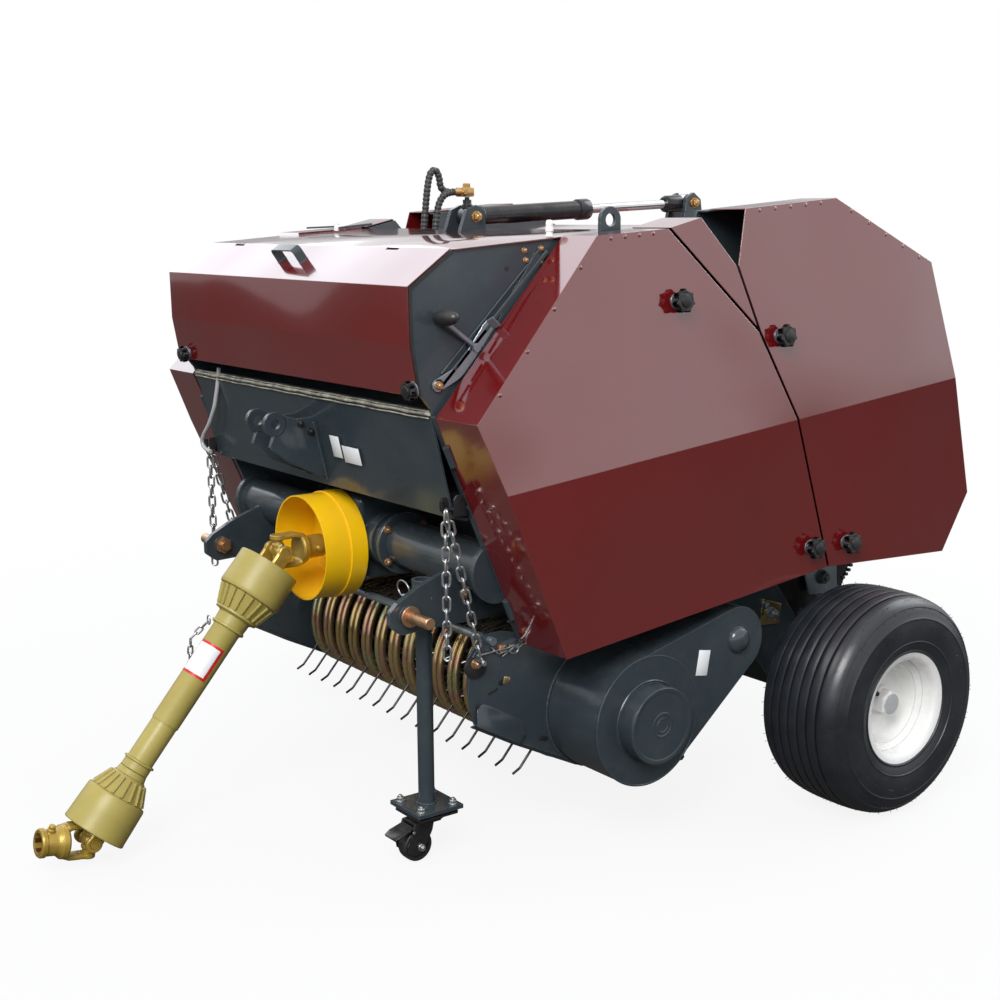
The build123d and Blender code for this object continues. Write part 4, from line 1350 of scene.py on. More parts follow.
@dataclass
class PowerShaft:
    """The guarded shaft with its two joints, its tubes and its safety chain."""

    line: ShaftLine = field(default_factory=ShaftLine)
    cone: GuardCone = field(default_factory=GuardCone)
    spline_foot: float = -879.5
    spline_length: float = 38.0
    chain_along: float = 168.0
    chain_off: Point = (-22.0, -29.0, 6.0)
    outer_guard: Outline = ((60, 33), (61.2, 32), (63, 32.4), (63.6, 36), (63.4, 60), (64.4, 98),
        (64.6, 104), (62.8, 107.6), (59, 108.6), (56.4, 109), (41.4, 148), (44, 148.6), (44.6, 151),
        (44, 153.6), (37, 155), (33.4, 157.6), (32.2, 176), (34.4, 177), (34.8, 179.4), (34.2, 182),
        (30, 183.4), (28.6, 186), (28.2, 396), (27.8, 398), (27.1, 398), (27.1, 156), (39.4, 150),
        (54, 109), (60.6, 103))
    inner_guard: Outline = ((26.5, 330), (26.5, 480), (29.6, 481), (31.4, 482), (31.8, 483.4), (31.4, 485),
        (27.9, 486.4), (28.4, 508), (30.2, 514), (33.6, 516), (34.6, 518.6), (52.4, 555), (55.6, 556),
        (58.4, 557), (60.2, 561), (61.4, 592), (62.6, 628), (63.2, 633), (62, 635), (60.2, 634.4),
        (58.4, 562), (50, 557), (32, 519), (25, 488), (24.4, 480), (24.4, 330))

    def yokes(self) -> None:
        """Build the four yokes, the two tubes and the crosses."""
        joint, way, far, far_way = Vector(self.line.joint), self.line.way, self.line.far, self.line.far_way
        form = Form()
        Yoke(hub=23, length=99, bore=17.4).add(form, joint, REAR, UP)
        form.lathe([(0, 0), (6.5, 0), (6.5, 5), (4.8, 7), (4.8, 11), (0, 11.5)],
            joint + Vector((22.5, 78, 0)), RIGHT, 18)
        form.make("near_yoke", "frame", YOKE_OCHRE, replaces=["pto_yoke_near"])
        tube = Form()
        Yoke(hub=22, length=72).add(tube, joint, way, RIGHT)
        tube.lathe([(0, 60), (19.6, 60), (19.6, 392), (15.3, 392), (15.3, 160), (0, 160)], joint, way, 32)
        tube.make("outer_shaft_tube", "pto_outer_half", YOKE_OCHRE, replaces=["pto_tube_outer"])
        inner = Form()
        Yoke(hub=20, length=64).add(inner, far, -way, RIGHT)
        inner.lathe([(0, 230), (14.8, 230), (14.8, 608), (0, 608)], joint, way, 32)
        inner.make("inner_shaft_tube", "pto_inner_half", YOKE_OCHRE, replaces=["pto_tube_inner"])
        far_up = far_way.cross(RIGHT).normalized()
        end = Form()
        Yoke(hub=25, length=96, bore=19.6).add(end, far, far_way, far_up)
        end.lathe([(25, 84), (27.5, 86), (27.5, 93), (25.5, 96), (21, 96)], far, far_way, 36, caps=False)
        end.lathe([(0, 0), (8, 0), (8, 7), (6, 8.5), (6, 14), (4.8, 15.5), (0, 15.5)],
            far + far_way * 76 + far_up * 22 + RIGHT * 6, (far_up + RIGHT * 0.3), 20)
        end.slot = 1
        for turn in turns(6):
            out = RIGHT * cos(turn) + far_up * sin(turn)
            end.sweep([far + far_way * 59 + out * 18.7, far + far_way * 95 + out * 18.7],
                strip(8.6, 2.4, 0.5), hint=far_way.cross(out))
        end.make("far_yoke", "pto_end", YOKE_OCHRE, SPLINE_BROWN, replaces=["pto_yoke_far"])
        CrossJoint().make("near_cross", "pto_cross", "pto_cross_near", joint, RIGHT, UP)
        CrossJoint().make("far_cross", "pto_end", "pto_cross_far", far, RIGHT, far_up)

    def splines(self) -> None:
        """Cut the splined end that shows inside the cup."""
        form = Form()
        foot, length = Vector((0, self.spline_foot, self.line.joint[2])), self.spline_length
        form.lathe([(17.1, 0), (17.4, 1), (17.4, length - 1), (17.1, length)], foot, REAR, 36, caps=False)
        for turn in turns(6):
            out = Vector((cos(turn), 0, sin(turn)))
            form.sweep([foot + out * 18.2, foot + REAR * length + out * 18.2], strip(8.5, 3, 0.5),
                hint=REAR.cross(out))
        form.make("input_splines", "frame", SPLINE_BROWN)

    def guards(self) -> None:
        """Mould the two guards with their bells, ribs, rings and tubes."""
        joint, way = Vector(self.line.joint), self.line.way
        guards = (("outer", self.outer_guard, (56.6, 110), (41.8, 147.5)),
            ("inner", self.inner_guard, (35, 519.5), (51.6, 554)))
        for half, profile, start, end in guards:
            form = Form()
            form.lathe(profile, joint, way, 72, closed=True)
            self.cone.add_ribs(form, joint, way, start, end)
            form.make(f"{half}_shaft_guard", f"pto_{half}_half", GUARD_MUSTARD,
                replaces=[f"pto_guard_{half}"])

    def notice(self) -> None:
        """Wrap the blank notice with its red border round the tube."""
        film = (("shaft_notice_border", BORDER_RED, 28.6, (-14, 116), (223, 294)),
            ("shaft_notice", BLANK_WHITE, 28.9, (0, 106), (228, 289)))
        for name, finish, radius, arc, along in film:
            form = Form()
            form.film(Vector(self.line.joint), self.line.way, radius, arc, along)
            form.make(name, "pto_outer_half", finish)

    def safety_chain(self) -> None:
        """Hang the short chain that keeps the guard from turning."""
        form = Form()
        anchor = Vector(self.line.joint) + self.line.way * self.chain_along + Vector(self.chain_off)
        ring = [anchor + Vector((-4 + 6 * cos(a), -6, 9 * sin(a))) for a in turns(20)]
        form.sweep(ring, circle(1.5, 8), closed=True)
        links = PickupChains(wire=1.9, link_length=22, link_width=12.5)
        bend = anchor + Vector((-26, -36, -38))
        links.strand(form, anchor + Vector((-6, -8, -4)), bend, 3, 0.6)
        links.strand(form, bend, bend + Vector((-4, -6, -92)), 6, 0.2)
        form.make("guard_chain", "pto_outer_half", ZINC)

    def build(self) -> None:
        """Build the whole shaft."""
        self.yokes()
        self.splines()
        self.guards()
        self.notice()
        self.safety_chain()


# ============================== pickup, drive and stand
@dataclass
class Pickup:
    """Pressed bands, spring tines' coils, side plate details and the crop comb."""

    reel_y: float = -530.0
    reel_z: float = 266.0
    radius: float = 155.0
    rear: float = -292.0
    count: int = 15
    pitch: float = 56.8
    width: float = 37.0
    bars: int = 4
    bar_place: Pair = (-88.0, -11.0)
    coil_radius: float = 11.0
    coil_length: float = 18.0
    comb_half: float = 430.0
    comb_wires: int = 60

    def band_line(self) -> list[Vector]:
        """Follow the bands' side line from the upper rear round the nose to the lower rear.

        Returns:
            The line's points in the middle plane.
        """
        top, low = self.reel_z + self.radius, self.reel_z - self.radius
        line = [Vector((0, self.rear, top)), Vector((0, -400, top))]
        for i in range(29):
            turn = pi / 2 + pi * 1.06 * i / 28
            drop = self.radius - 34 * max(0, -sin(turn))
            line.append(Vector((0, self.reel_y + self.radius * cos(turn), self.reel_z + drop * sin(turn))))
        line.append(Vector((0, -430, low + 44)))
        line.append(Vector((0, self.rear, low + 66)))
        return line

    def bands(self) -> None:
        """Roll the bands: two raised ridges with a black strip in the deep valley between them, painted
        shade for that valley.
        """
        ridge = [(-8.5, -6.6), (-1.5, -7), (0.8, -5.8), (2.3, -3.2), (2.8, 0.2), (2.2, 3.4), (0.4, 6),
            (-1.5, 7), (-8.5, 6.6)]
        valley = [(-8.8, -12), (-7.2, -12), (-7.2, 12), (-8.8, 12)]
        form = Form()
        line = self.band_line()
        for i in range(self.count):
            x = (i - (self.count - 1) / 2) * self.pitch
            form.slot = 0
            for offset in (-self.width / 2 + 8.6, self.width / 2 - 8.6):
                form.sweep([spot + Vector((x + offset, 0, 0)) for spot in line], ridge, hint=UP)
            # painted shade: a black strip at the bottom of each valley stands for its shadow
            form.slot = 1
            form.sweep([spot + Vector((x, 0, 0)) for spot in line], valley, hint=UP)
        form.slot = 0
        top, low = self.reel_z + self.radius, self.reel_z - self.radius
        form.box((-446, self.rear, top - 16), (446, self.rear + 10, top), 1.5)
        form.box((-446, self.rear, low + 64), (446, self.rear + 10, low + 80), 1.5)
        form.make("pickup_bands_rolled", "frame", GOLD_ZINC, BLACK_PAINT, replaces=["pickup_bands"])

    def reel_core(self) -> None:
        """Wind the coils of the spring tines on their bars."""
        form = Form()
        steps = 36
        tines = self.count + 1
        for bar in range(self.bars):
            turn = tau * bar / self.bars
            a, b = self.bar_place
            y = self.reel_y + a * cos(turn) - b * sin(turn)
            z = self.reel_z + a * sin(turn) + b * cos(turn)
            for i in range(tines):
                start = (i - self.count / 2) * self.pitch - self.coil_length / 2
                angles = [tau * k / 12 for k in range(steps + 1)]
                path = [(start + self.coil_length * k / steps, y + self.coil_radius * cos(angle),
                    z + self.coil_radius * sin(angle)) for k, angle in enumerate(angles)]
                form.sweep(path, circle(2.3, 6))
        form.make("tine_coils", "reel", BLACK_PAINT)

    def plates(self) -> None:
        """Lay skirts and welds on the pickup's side plates, paint the shade in their slots as thin black
        plates, and add a dark lug, wire clips, a painted glint and nuts.
        """
        dark, wire, bolts, skin, nuts = Form(), Form(), Form(), Form(), Form()
        skirt = [(-836, 400), (-839, 333), (-826, 280), (-734, 229), (-581, 153), (-505, 124), (-400, 134),
            (-400, 300), (-700, 425), (-805, 440)]
        for s in SIGNS:
            face = s * 451
            skin.upright(skirt, 4.4, (s * 448.8, 0, 0), 0.8)
            skin.plate([(-10, 30), (0, 0), (108, 0), (120, 22), (104, 46), (4, 46)], 2.6,
                (s * 463, -827, 279), (0, 0.875, -0.485), (-s * 0.30, 0.463, 0.834), 0.8)
            skin.sweep([(s * 446, y, z - 4) for y, z in skirt[2:6]], strip(13, 3),
                hint=(-s * 0.75, 0, -0.6))
            # painted shade: the slots are thin black plates standing for the dark behind them
            for y, z, half, tall, tilt in ((-818, 307, 4.5, 13, 0.1), (-665, 219, 11, 5, -0.35),
                    (-757, 352, 14, 6.5, 0.35), (-783, 336, 12, 3, 0.35)):
                round_end = min(half, tall)
                outline = stadium(max(half, tall) - round_end, round_end)
                if tall > half:
                    outline = [(-b, a) for a, b in outline]
                turn = [(a * cos(tilt) - b * sin(tilt), a * sin(tilt) + b * cos(tilt)) for a, b in outline]
                dark.upright(turn, 0.8, (face, y, z), 0.1)
            dark.upright([(24 * cos(a), 20 * sin(a) - 6) for a in turns(20)], 5, (s * 453, -824, 396), 0.8)
            # painted highlight: a thin gold zinc patch stands for a glint at the hole
            bolts.upright([(-9, -6), (7, -8), (9, 5), (-5, 8)], 0.6, (s * 451.6, -752, 352), 0.1)
            nuts.bolt(15, (s * 455.5, -825, 398), (s, 0, 0), 4)
            nuts.lathe([(0, 0), (9, 0), (9, 6), (6.5, 7.5), (0, 7.5)], (s * 451, -764, 416), (s, 0, 0), 20)
            for y, z, lean in ((-764, 416, -0.18), (-722, 424, 0.25)):
                clip = [(-46, -13), (-20, -5), (8, 2), (20, 10), (30, 6), (30, -4), (20, -8), (8, -2),
                    (-10, -10), (-26, 2)]
                spots = [(s * (460 + 0.15 * a), y + a * cos(lean) - b * sin(lean),
                    z + a * sin(lean) + b * cos(lean)) for a, b in clip]
                wire.sweep(rounded_path(spots, 5, 4), circle(1.7, 8))
        skin.make("pickup_side_skirts", "frame", SLATE)
        dark.make("pickup_slot_shade_and_lug", "frame", BLACK_PLASTIC)
        wire.make("pickup_spring_clips", "frame", ZINC)
        bolts.make("pickup_side_glint", "frame", GOLD_ZINC)
        nuts.make("pickup_side_nuts", "frame", COPPER_ZINC)

    def crop_screen(self) -> None:
        """Bend the comb of thin black wires behind the crop bar."""
        form = Form()
        for i in range(self.comb_wires):
            x = -self.comb_half + i * 2 * self.comb_half / (self.comb_wires - 1)
            sag = 4 * sin(i * 1.9)
            path = [(x, -783, 437), (x + 2, -700, 452 + sag), (x + 4, -610, 448 + sag), (x + 4, -520, 434)]
            form.sweep(rounded_path(path, 40, 5), circle(1.9, 6))
        form.make("crop_comb", "frame", BLACK_PAINT)

    def build(self) -> None:
        """Build the pickup's pieces."""
        self.bands()
        self.reel_core()
        self.plates()
        self.crop_screen()


@dataclass
class DriveCase:
    """Ridges, cap, drain knob, bolts and the blank sticker of the chain case."""

    face: float = 600.0
    boss_face: float = 638.0
    big: Pair = (-530.0, 266.0)
    weld_radius: float = 128.0
    small: Pair = (-300.0, 382.0)

    def build(self) -> None:
        """Build the case's pieces."""
        form = Form()
        hub = (self.big[0] + 1, self.big[1] + 2)
        ridges = (
            (self.face - 2, self.big, 96, [(126.4, -3), (127.6, 0), (126.8, 2.4), (124, 2.6), (122, 0.2)]),
            (self.face, self.big, 80, [(74.6, 0), (76, 0.4), (78.5, 2), (80, 0.2)]),
            (self.boss_face, self.big, 80, [(74.2, -7), (74.4, -2.5), (72.6, 0.8), (66, 1), (64, 0.1)]),
            (self.boss_face, hub, 48, [(20, 0), (21.5, 0.9), (23.5, 0.9), (25, 0)]),
            (self.boss_face, hub, 36, [(12, 0), (13.5, 1), (14, 0.1)]),
        )
        for x, middle, count, profile in ridges:
            form.lathe(profile, (x, *middle), RIGHT, count, caps=False)
        form.lathe([(27, 0), (26, 5), (21, 11), (11, 15), (0, 16)],
            (self.face, self.small[0] + 2, self.small[1] + 2), RIGHT, 40)
        form.make("drive_case_ridges", "frame", SLATE)
        weld = Form()
        steps = 72
        angles = [radians(118 + 165 * i / steps) for i in range(steps + 1)]
        rim = [(452.5, self.big[0] + self.weld_radius * cos(a), self.big[1] + self.weld_radius * sin(a))
            for a in angles]
        weld.sweep(rim, circle(2.6, 7), sizes=bead(steps + 1, 0.25, 2.2))
        weld.make("drive_case_weld", "frame", SLATE)
        knob = Form()
        knob.bolt(15, (580, -432, 172), (0, 0.5, -0.85), 5)
        knob.lathe([(0, 0), (11, 0), (12, 6), (9, 12), (0, 13)], (560, -420, 184), (0, 0.5, -0.85), 20)
        knob.make("drive_case_drain", "frame", BLACK_PLASTIC)
        note = Form()
        note.plate(oblong(30, 50), 0.5, (self.face + 0.4, -392, 354), (0, 1, -0.18), (0, 0.18, 1), 0.1)
        note.make("drive_case_sticker", "frame", BLANK_WHITE)


@dataclass
class Stand:
    """Nuts, pressed fork, brake pedal and roller of the parking stand."""

    x: float = 352.0
    y: float = -869.0
    hole: float = 36.0
    plate_z: float = 108.0
    trail: float = 28.0
    axle_z: float = 31.0

    def nuts(self) -> None:
        """Bolt the top plate to the fork."""
        form = Form()
        for dx in (-self.hole, self.hole):
            for dy in (-self.hole, self.hole):
                form.bolt(13, (self.x + dx, self.y + dy, self.plate_z), UP, 5)
        form.make("stand_nuts", "stand", ZINC)
        weld = Form()
        ring = [(self.x + 17 * cos(a), self.y + 17 * sin(a), self.plate_z + 1.4) for a in turns(40)]
        weld.sweep(ring, circle(2.4, 7), closed=True, sizes=bead(40))
        weld.lathe([(12.6, 0), (15.4, 0), (15.9, 0.6), (15.9, 2.6), (15.2, 3.2), (12.6, 3.2)],
            (self.x, self.y, 527), UP, 40, closed=True)
        weld.lathe([(0, 0), (3.4, 0), (3.4, 1.4), (0, 1.6)], (self.x - 15.2, self.y, 300), (-1, 0, 0), 14)
        weld.make("stand_welds", "stand", SLATE)

    def fork(self) -> None:
        """Press the fork with its ball race, legs and axle, and its brake pedal."""
        form = Form()
        form.plate([(-45, -40), (-40, -45), (40, -45), (45, -40), (45, 40), (40, 45), (-40, 45), (-45, 40)],
            4, (self.x, self.y, 92), RIGHT, REAR, 1)
        form.lathe([(0, 0), (33, 0), (35, -4), (33, -9), (28, -11), (0, -11)], (self.x, self.y, 90), UP, 40)
        wheel_y, wheel_z = self.y - self.trail, self.axle_z
        for s in (-1, 1):
            outline = [(-20, 26), (-30, 8), (-28, -6), (-20, -13), (-6, -14), (8, -4), (26, 30), (30, 48),
                (-14, 48)]
            form.upright(outline, 3, (self.x + s * 21, wheel_y, wheel_z), 0.9)
        form.box((self.x - 22, wheel_y - 12, 74), (self.x + 22, wheel_y + 46, 80), 1.5)
        form.plate([(-19, 0), (19, 0), (23, -30), (19, -44), (-19, -44), (-23, -30)], 5,
            (self.x, wheel_y - 14, 72), RIGHT, (0, 0.93, 0.36), 1.6)
        form.slot = 1
        for s in (-1, 1):
            form.bolt(11, (self.x + s * 22.5, wheel_y, wheel_z), (s, 0, 0), 2)
            form.lathe([(0, 0), (3.2, 0), (3, 1.8), (0, 2.2)], (self.x + s * 22.5, wheel_y - 16, 64),
                (s, 0, 0), 14)
        form.make("caster_pressed_fork", "caster", BLACK_PAINT, ZINC, replaces=["caster_fork"])
        wheel = Form()
        wheel.lathe([(5.1, -13.5), (11, -13.5), (12, -11), (21, -10), (22, -13), (28, -13.4), (30.2, -11.5),
            (30.9, -7), (31, 0), (30.9, 7), (30.2, 11.5), (28, 13.4), (22, 13), (21, 10), (12, 11),
            (11, 13.5), (5.1, 13.5)], (self.x, wheel_y, wheel_z), RIGHT, 56, closed=True)
        wheel.make("caster_roller", "caster_roll", BLACK_PLASTIC, replaces=["caster_wheel"])

    def build(self) -> None:
        """Build the stand's pieces."""
        self.nuts()
        self.fork()


# ============================== wheels
@dataclass
class Wheel:
    """A rib tread tyre on a deep white rim with its hub nut and valve."""

    centre_x: float = 681.0
    centre_z: float = 228.5
    outside: float = 228.5
    half: float = 105.5
    grooves: tuple[float, ...] = (-58, -35, -12, 12, 35, 58)
    groove_depth: float = 7.0
    tread_half: float = 80.0
    crown_drop: float = 7.5
    hair_rows: int = 44
    hairs: tuple[Point, ...] = ((-81, 219, 6), (-46.5, 225.5, 3), (-23.5, 227, 2.5), (0, 227.4, 2.5),
        (23.5, 227, 2.5), (46.5, 225.5, 2.5), (81, 219, 3.5), (95, 203, 4), (104.5, 165, 3))

    def crown(self, x: float) -> float:
        """Return the tread's radius at a distance from the wheel's middle."""
        share = abs(x) / self.tread_half
        return self.outside - 1 - self.crown_drop * share ** 3.2

    def tread(self) -> list[Pair]:
        """Draw the tread's profile with its grooves, from one edge to the other.

        Returns:
            Pairs of radius and place across.
        """
        profile: list[Pair] = []
        edge = self.tread_half
        stops = [-edge, *self.grooves, edge]
        for a, b in zip(stops, stops[1:]):
            start = a if a == -edge else a + 2.3
            end = b if b == edge else b - 2.3
            steps = 5
            for i in range(steps + 1):
                x = start + (end - start) * i / steps
                soft = 0.9 if i in (0, steps) else 0
                profile.append((self.crown(x) - soft, x))
            if b != edge:
                low = self.crown(b) - self.groove_depth
                profile += [(low + 0.5, b - 1.7), (low, b), (low + 0.5, b + 1.7)]
        return profile

    def wall(self) -> list[Pair]:
        """Draw the outer side wall from the tread's edge to the bead.

        Returns:
            Pairs of radius and place across.
        """
        h = self.half
        return [(215, 87), (209, 92.5), (206.6, 94.2), (205.8, 93.4), (203, 95.4), (196, 99.4),
            (187, 102.6), (186, 103.8), (183.6, 104.2), (182.4, 103.4), (172, h - 0.9), (160, h - 0.5),
            (150, h - 1), (140, h - 2.2), (139, h - 1.4), (136.6, h - 1.6), (135.6, h - 3.2),
            (128, h - 5.2), (120.5, h - 8.2), (119.4, h - 7), (116.6, h - 7.2), (115.4, h - 9.4),
            (111, h - 12), (107.5, h - 15.5), (104, h - 19), (103.6, h - 24)]

    def tyre(self, side: Side) -> None:
        """Mould the tyre of one side.

        Args:
            side: the side.
        """
        outer = self.wall()
        outline = [(r, -x) for r, x in outer[::-1]] + self.tread() + outer
        inside = [(124, 78), (165, 92), (190, 90), (210, 62)]
        outline += inside + [(r, -x) for r, x in inside[::-1]]
        form = Form()
        form.lathe(outline, (side.value * self.centre_x, 0, self.centre_z), RIGHT, 128, closed=True)
        hairs = Form()
        for i, a in enumerate(turns(self.hair_rows)):
            for x, r, reach in self.hairs:
                turn = a + x * 0.013 + 0.05 * sin(i * 2.9 + x)
                out = Vector((0, cos(turn), sin(turn)))
                spot = Vector((side.value * (self.centre_x + x), 0, self.centre_z)) + out * r
                lean = out + RIGHT * side.value * (0.9 if x > 0 else -0.9 if x < -50 else 0.2)
                hairs.sweep([spot, spot + lean.normalized() * reach], circle(0.6, 3), hint=(1, 0.2, 0))
        body = f"wheel_{side.word}"
        form.make(f"rib_tyre_{side.word}", body, TYRE, replaces=[f"tyre_{side.word}"], sharp=40)
        hairs.make(f"tyre_hairs_{side.word}", body, TYRE)

    def rim_parts(self, side: Side) -> None:
        """Press the rim, and add its nut, washer and valve.

        Args:
            side: the side.
        """
        s, word, body = side.value, side.word, f"wheel_{side.word}"
        centre = Vector((s * self.centre_x, 0, self.centre_z))
        form = Form()
        lip = self.half - 10
        flange = [(101.5, 12), (110, 9), (114.5, 3), (115.5, 1.2), (114.6, 0), (108, 1.2), (101, 4),
            (97.6, 8)]
        outline = [(r, lip - x) for r, x in flange]
        outline += [(96.6, lip - 14), (95.6, lip - 36), (92, lip - 41), (82, lip - 44), (79.6, lip - 48),
            (78.6, 26), (75, 18), (68, 13.6), (52, 12.4), (43, 13), (39, 15), (37.5, 15), (37, 12), (37, 8),
            (60, 7.6), (76, 9), (76.5, 6), (79, -40), (79.6, 44 - lip), (96, 34 - lip)]
        outline += [(r, x - lip) for r, x in flange[::-1]]
        outline += [(100.5, 32 - lip), (83.5, 42 - lip), (83.5, lip - 42), (100.5, lip - 32)]
        form.lathe(outline, centre, (s, 0, 0), 96, closed=True)
        form.make(f"deep_rim_{word}", body, RIM_WHITE, replaces=[f"rim_{word}"])
        hub = Form()
        hub.lathe([(20.2, -40), (36, -40), (36, 8), (37.4, 9), (37.4, 15.5), (35, 17), (32, 18), (31, 34),
            (29, 36.5), (20.2, 36.5)], centre, (s, 0, 0), 48, closed=True)
        hub.hexagon(48, 24, centre + Vector((s * 36, 0, 0)), (s, 0, 0))
        hub.slot = 1
        hub.lathe([(0, 59), (21.5, 59), (21, 60.6), (19.4, 61.2), (0, 61.5)], centre, (s, 0, 0), 40)
        hub.make(f"hub_nut_{word}", body, RIM_WHITE, PALE_TUBE, replaces=[f"hub_{word}"])
        valve = Form()
        valve.lathe([(0, 0), (7.2, 0), (6.4, 7), (4.6, 12), (4.4, 34), (5, 35), (5, 43), (4.2, 44),
            (0, 44.2)], centre + Vector((s * 12.6, -34.5, 26)), (s, -0.10, 0.04), 14)
        valve.make(f"valve_{word}", body, BLACK_PLASTIC)

    def build(self) -> None:
        """Build both wheels."""
        for side in Side:
            self.tyre(side)
            self.rim_parts(side)


# ============================== ram, roof and twine gear
@dataclass
class Ram:
    """Port, gland, eye bolts, fittings and hoses of the tailgate ram."""

    base: Pair = (-514.0, 1198.0)
    eye: Pair = (101.0, 1227.0)
    hose_across: float = 0.0104
    wrap_step: float = 0.0014
    wrap_pitch: float = 0.0088
    union: Point = (10.0, -553.0, 1248.0)
    block: Point = (0.0, -515.0, 1257.0)
    port: Point = (0.0, -514.0, 1214.5)
    routes: dict[str, list[Point]] = field(default_factory=lambda: {
        "left": [(-10, -552, 1248), (-10, -565, 1249), (-10, -574, 1259), (-10, -575.5, 1275),
            (-10, -582, 1291), (-10, -595, 1291), (-10, -603, 1273), (-9, -611, 1225), (-8, -617, 1172)],
        "right": [(10, -552, 1248), (10, -572, 1247), (9.5, -588, 1232), (9, -596, 1208), (8, -600, 1172)],
    })

    @property
    def way(self) -> Vector:
        """The direction from the base to the rod's eye."""
        return Vector((0, self.eye[0] - self.base[0], self.eye[1] - self.base[1])).normalized()

    def barrel_parts(self) -> None:
        """Add the gland ring, the port boss and the base bolt."""
        base = Vector((0, *self.base))
        form = Form()
        form.lathe([(19.5, 292), (22.4, 293), (22.8, 296), (22.8, 320), (21.6, 323), (20, 323.8),
            (11, 324.2), (10.3, 320)], base, self.way, 48, caps=False)
        form.lathe([(19.6, 22), (21, 25), (21, 33), (19.7, 35)], base, self.way, 48, caps=False)
        form.make("ram_gland", "ram_barrel", BLACK_PAINT)
        for name, body, pin in (("ram_base_bolt", "frame", self.base),
                ("ram_eye_bolt", "tailgate", self.eye)):
            form = Form()
            for s in SIGNS:
                form.bolt(17, (s * 32, *pin), (s, 0, 0), 3)
            form.make(name, body, BRASS)
        sleeve = Form()
        eye = Vector((0, *self.eye))
        sleeve.lathe([(10.1, -66), (15, -66), (18.4, -62), (19, -58), (19, -18), (16, -14), (10.1, -14)],
            eye, self.way, 40, closed=True)
        sleeve.make("ram_rod_socket", "ram_rod", BLACK_PAINT)

    def wrap(self, name: str, line: Sequence[Vector]) -> Thing:
        """Wind the black spiral round a hose.

        Args:
            name: the hose's side.
            line: points of the hose's middle line, in metres.

        Returns:
            The wrap.
        """
        path, swell, walked = [], [], 0
        for start, end in zip(line, line[1:]):
            gap = (end - start).length
            steps = max(2, round(gap / self.wrap_step))
            for k in range(steps):
                here = start.lerp(end, k / steps)
                path.append(Vector((here.x / MM, (here.y - AXLE_SHIFT) / MM, here.z / MM)))
                swell.append(0.86 + 0.22 * abs(sin(pi * (walked + gap * k / steps) / self.wrap_pitch)))
            walked += gap
        form = Form()
        form.sweep(path, circle(7, 16), sizes=swell)
        return form.make("hose_wrap_" + name, "frame", HOSE_BLACK)

    def hoses(self) -> None:
        """Bend the two wrapped hoses from their fittings down behind the roof's front edge."""
        for name, route in self.routes.items():
            curve = bpy.data.curves.new("hose_" + name, "CURVE")
            curve.dimensions = "3D"
            spline = curve.splines.new("NURBS")
            spline.points.add(len(route) - 1)
            for point, spot in zip(spline.points, route):
                point.co = (*place(*spot), 1)
            spline.order_u = 3
            spline.use_endpoint_u = True
            spline.resolution_u = 12
            hose = add_object("hose_" + name, curve)
            read = bpy.data.meshes.new_from_object(hose)
            line = [Vector(v.co) for v in read.vertices]
            bpy.data.meshes.remove(read)
            curve.bevel_depth = self.hose_across / 2
            curve.bevel_resolution = 5
            curve.use_fill_caps = True
            curve.materials.append(HOSE_BLACK.material())
            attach(hose, "frame")
            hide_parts("hoses")
            self.wrap(name, line)

    def fittings(self) -> None:
        """Add the brass unions and the black port between hoses and barrel."""
        form = Form()
        across, y, z = self.union
        for x in (-across, across):
            form.lathe([(0, 0), (6.8, 0), (6.8, 14), (5.6, 15), (5.6, 19), (7.6, 20), (7.6, 27), (0, 28)],
                (x, y, z), REAR, 24)
            form.hexagon(16, 9, (x, y + 19, z), REAR)
        form.hexagon(15, 9, self.block, UP)
        form.box((-17, -527, 1238.6), (17, -507, self.block[2]), 2.5)
        form.make("ram_fittings", "frame", BRASS)
        port = Form()
        port.lathe([(0, 0), (11, 0), (11, 8), (9, 10), (9, 18), (5, 18.5), (5, 23.5), (0, 23.5)], self.port,
            UP, 28)
        port.make("ram_port", "ram_barrel", BLACK_PAINT)

    def build(self) -> None:
        """Build the ram's pieces."""
        self.barrel_parts()
        self.hoses()
        self.fittings()


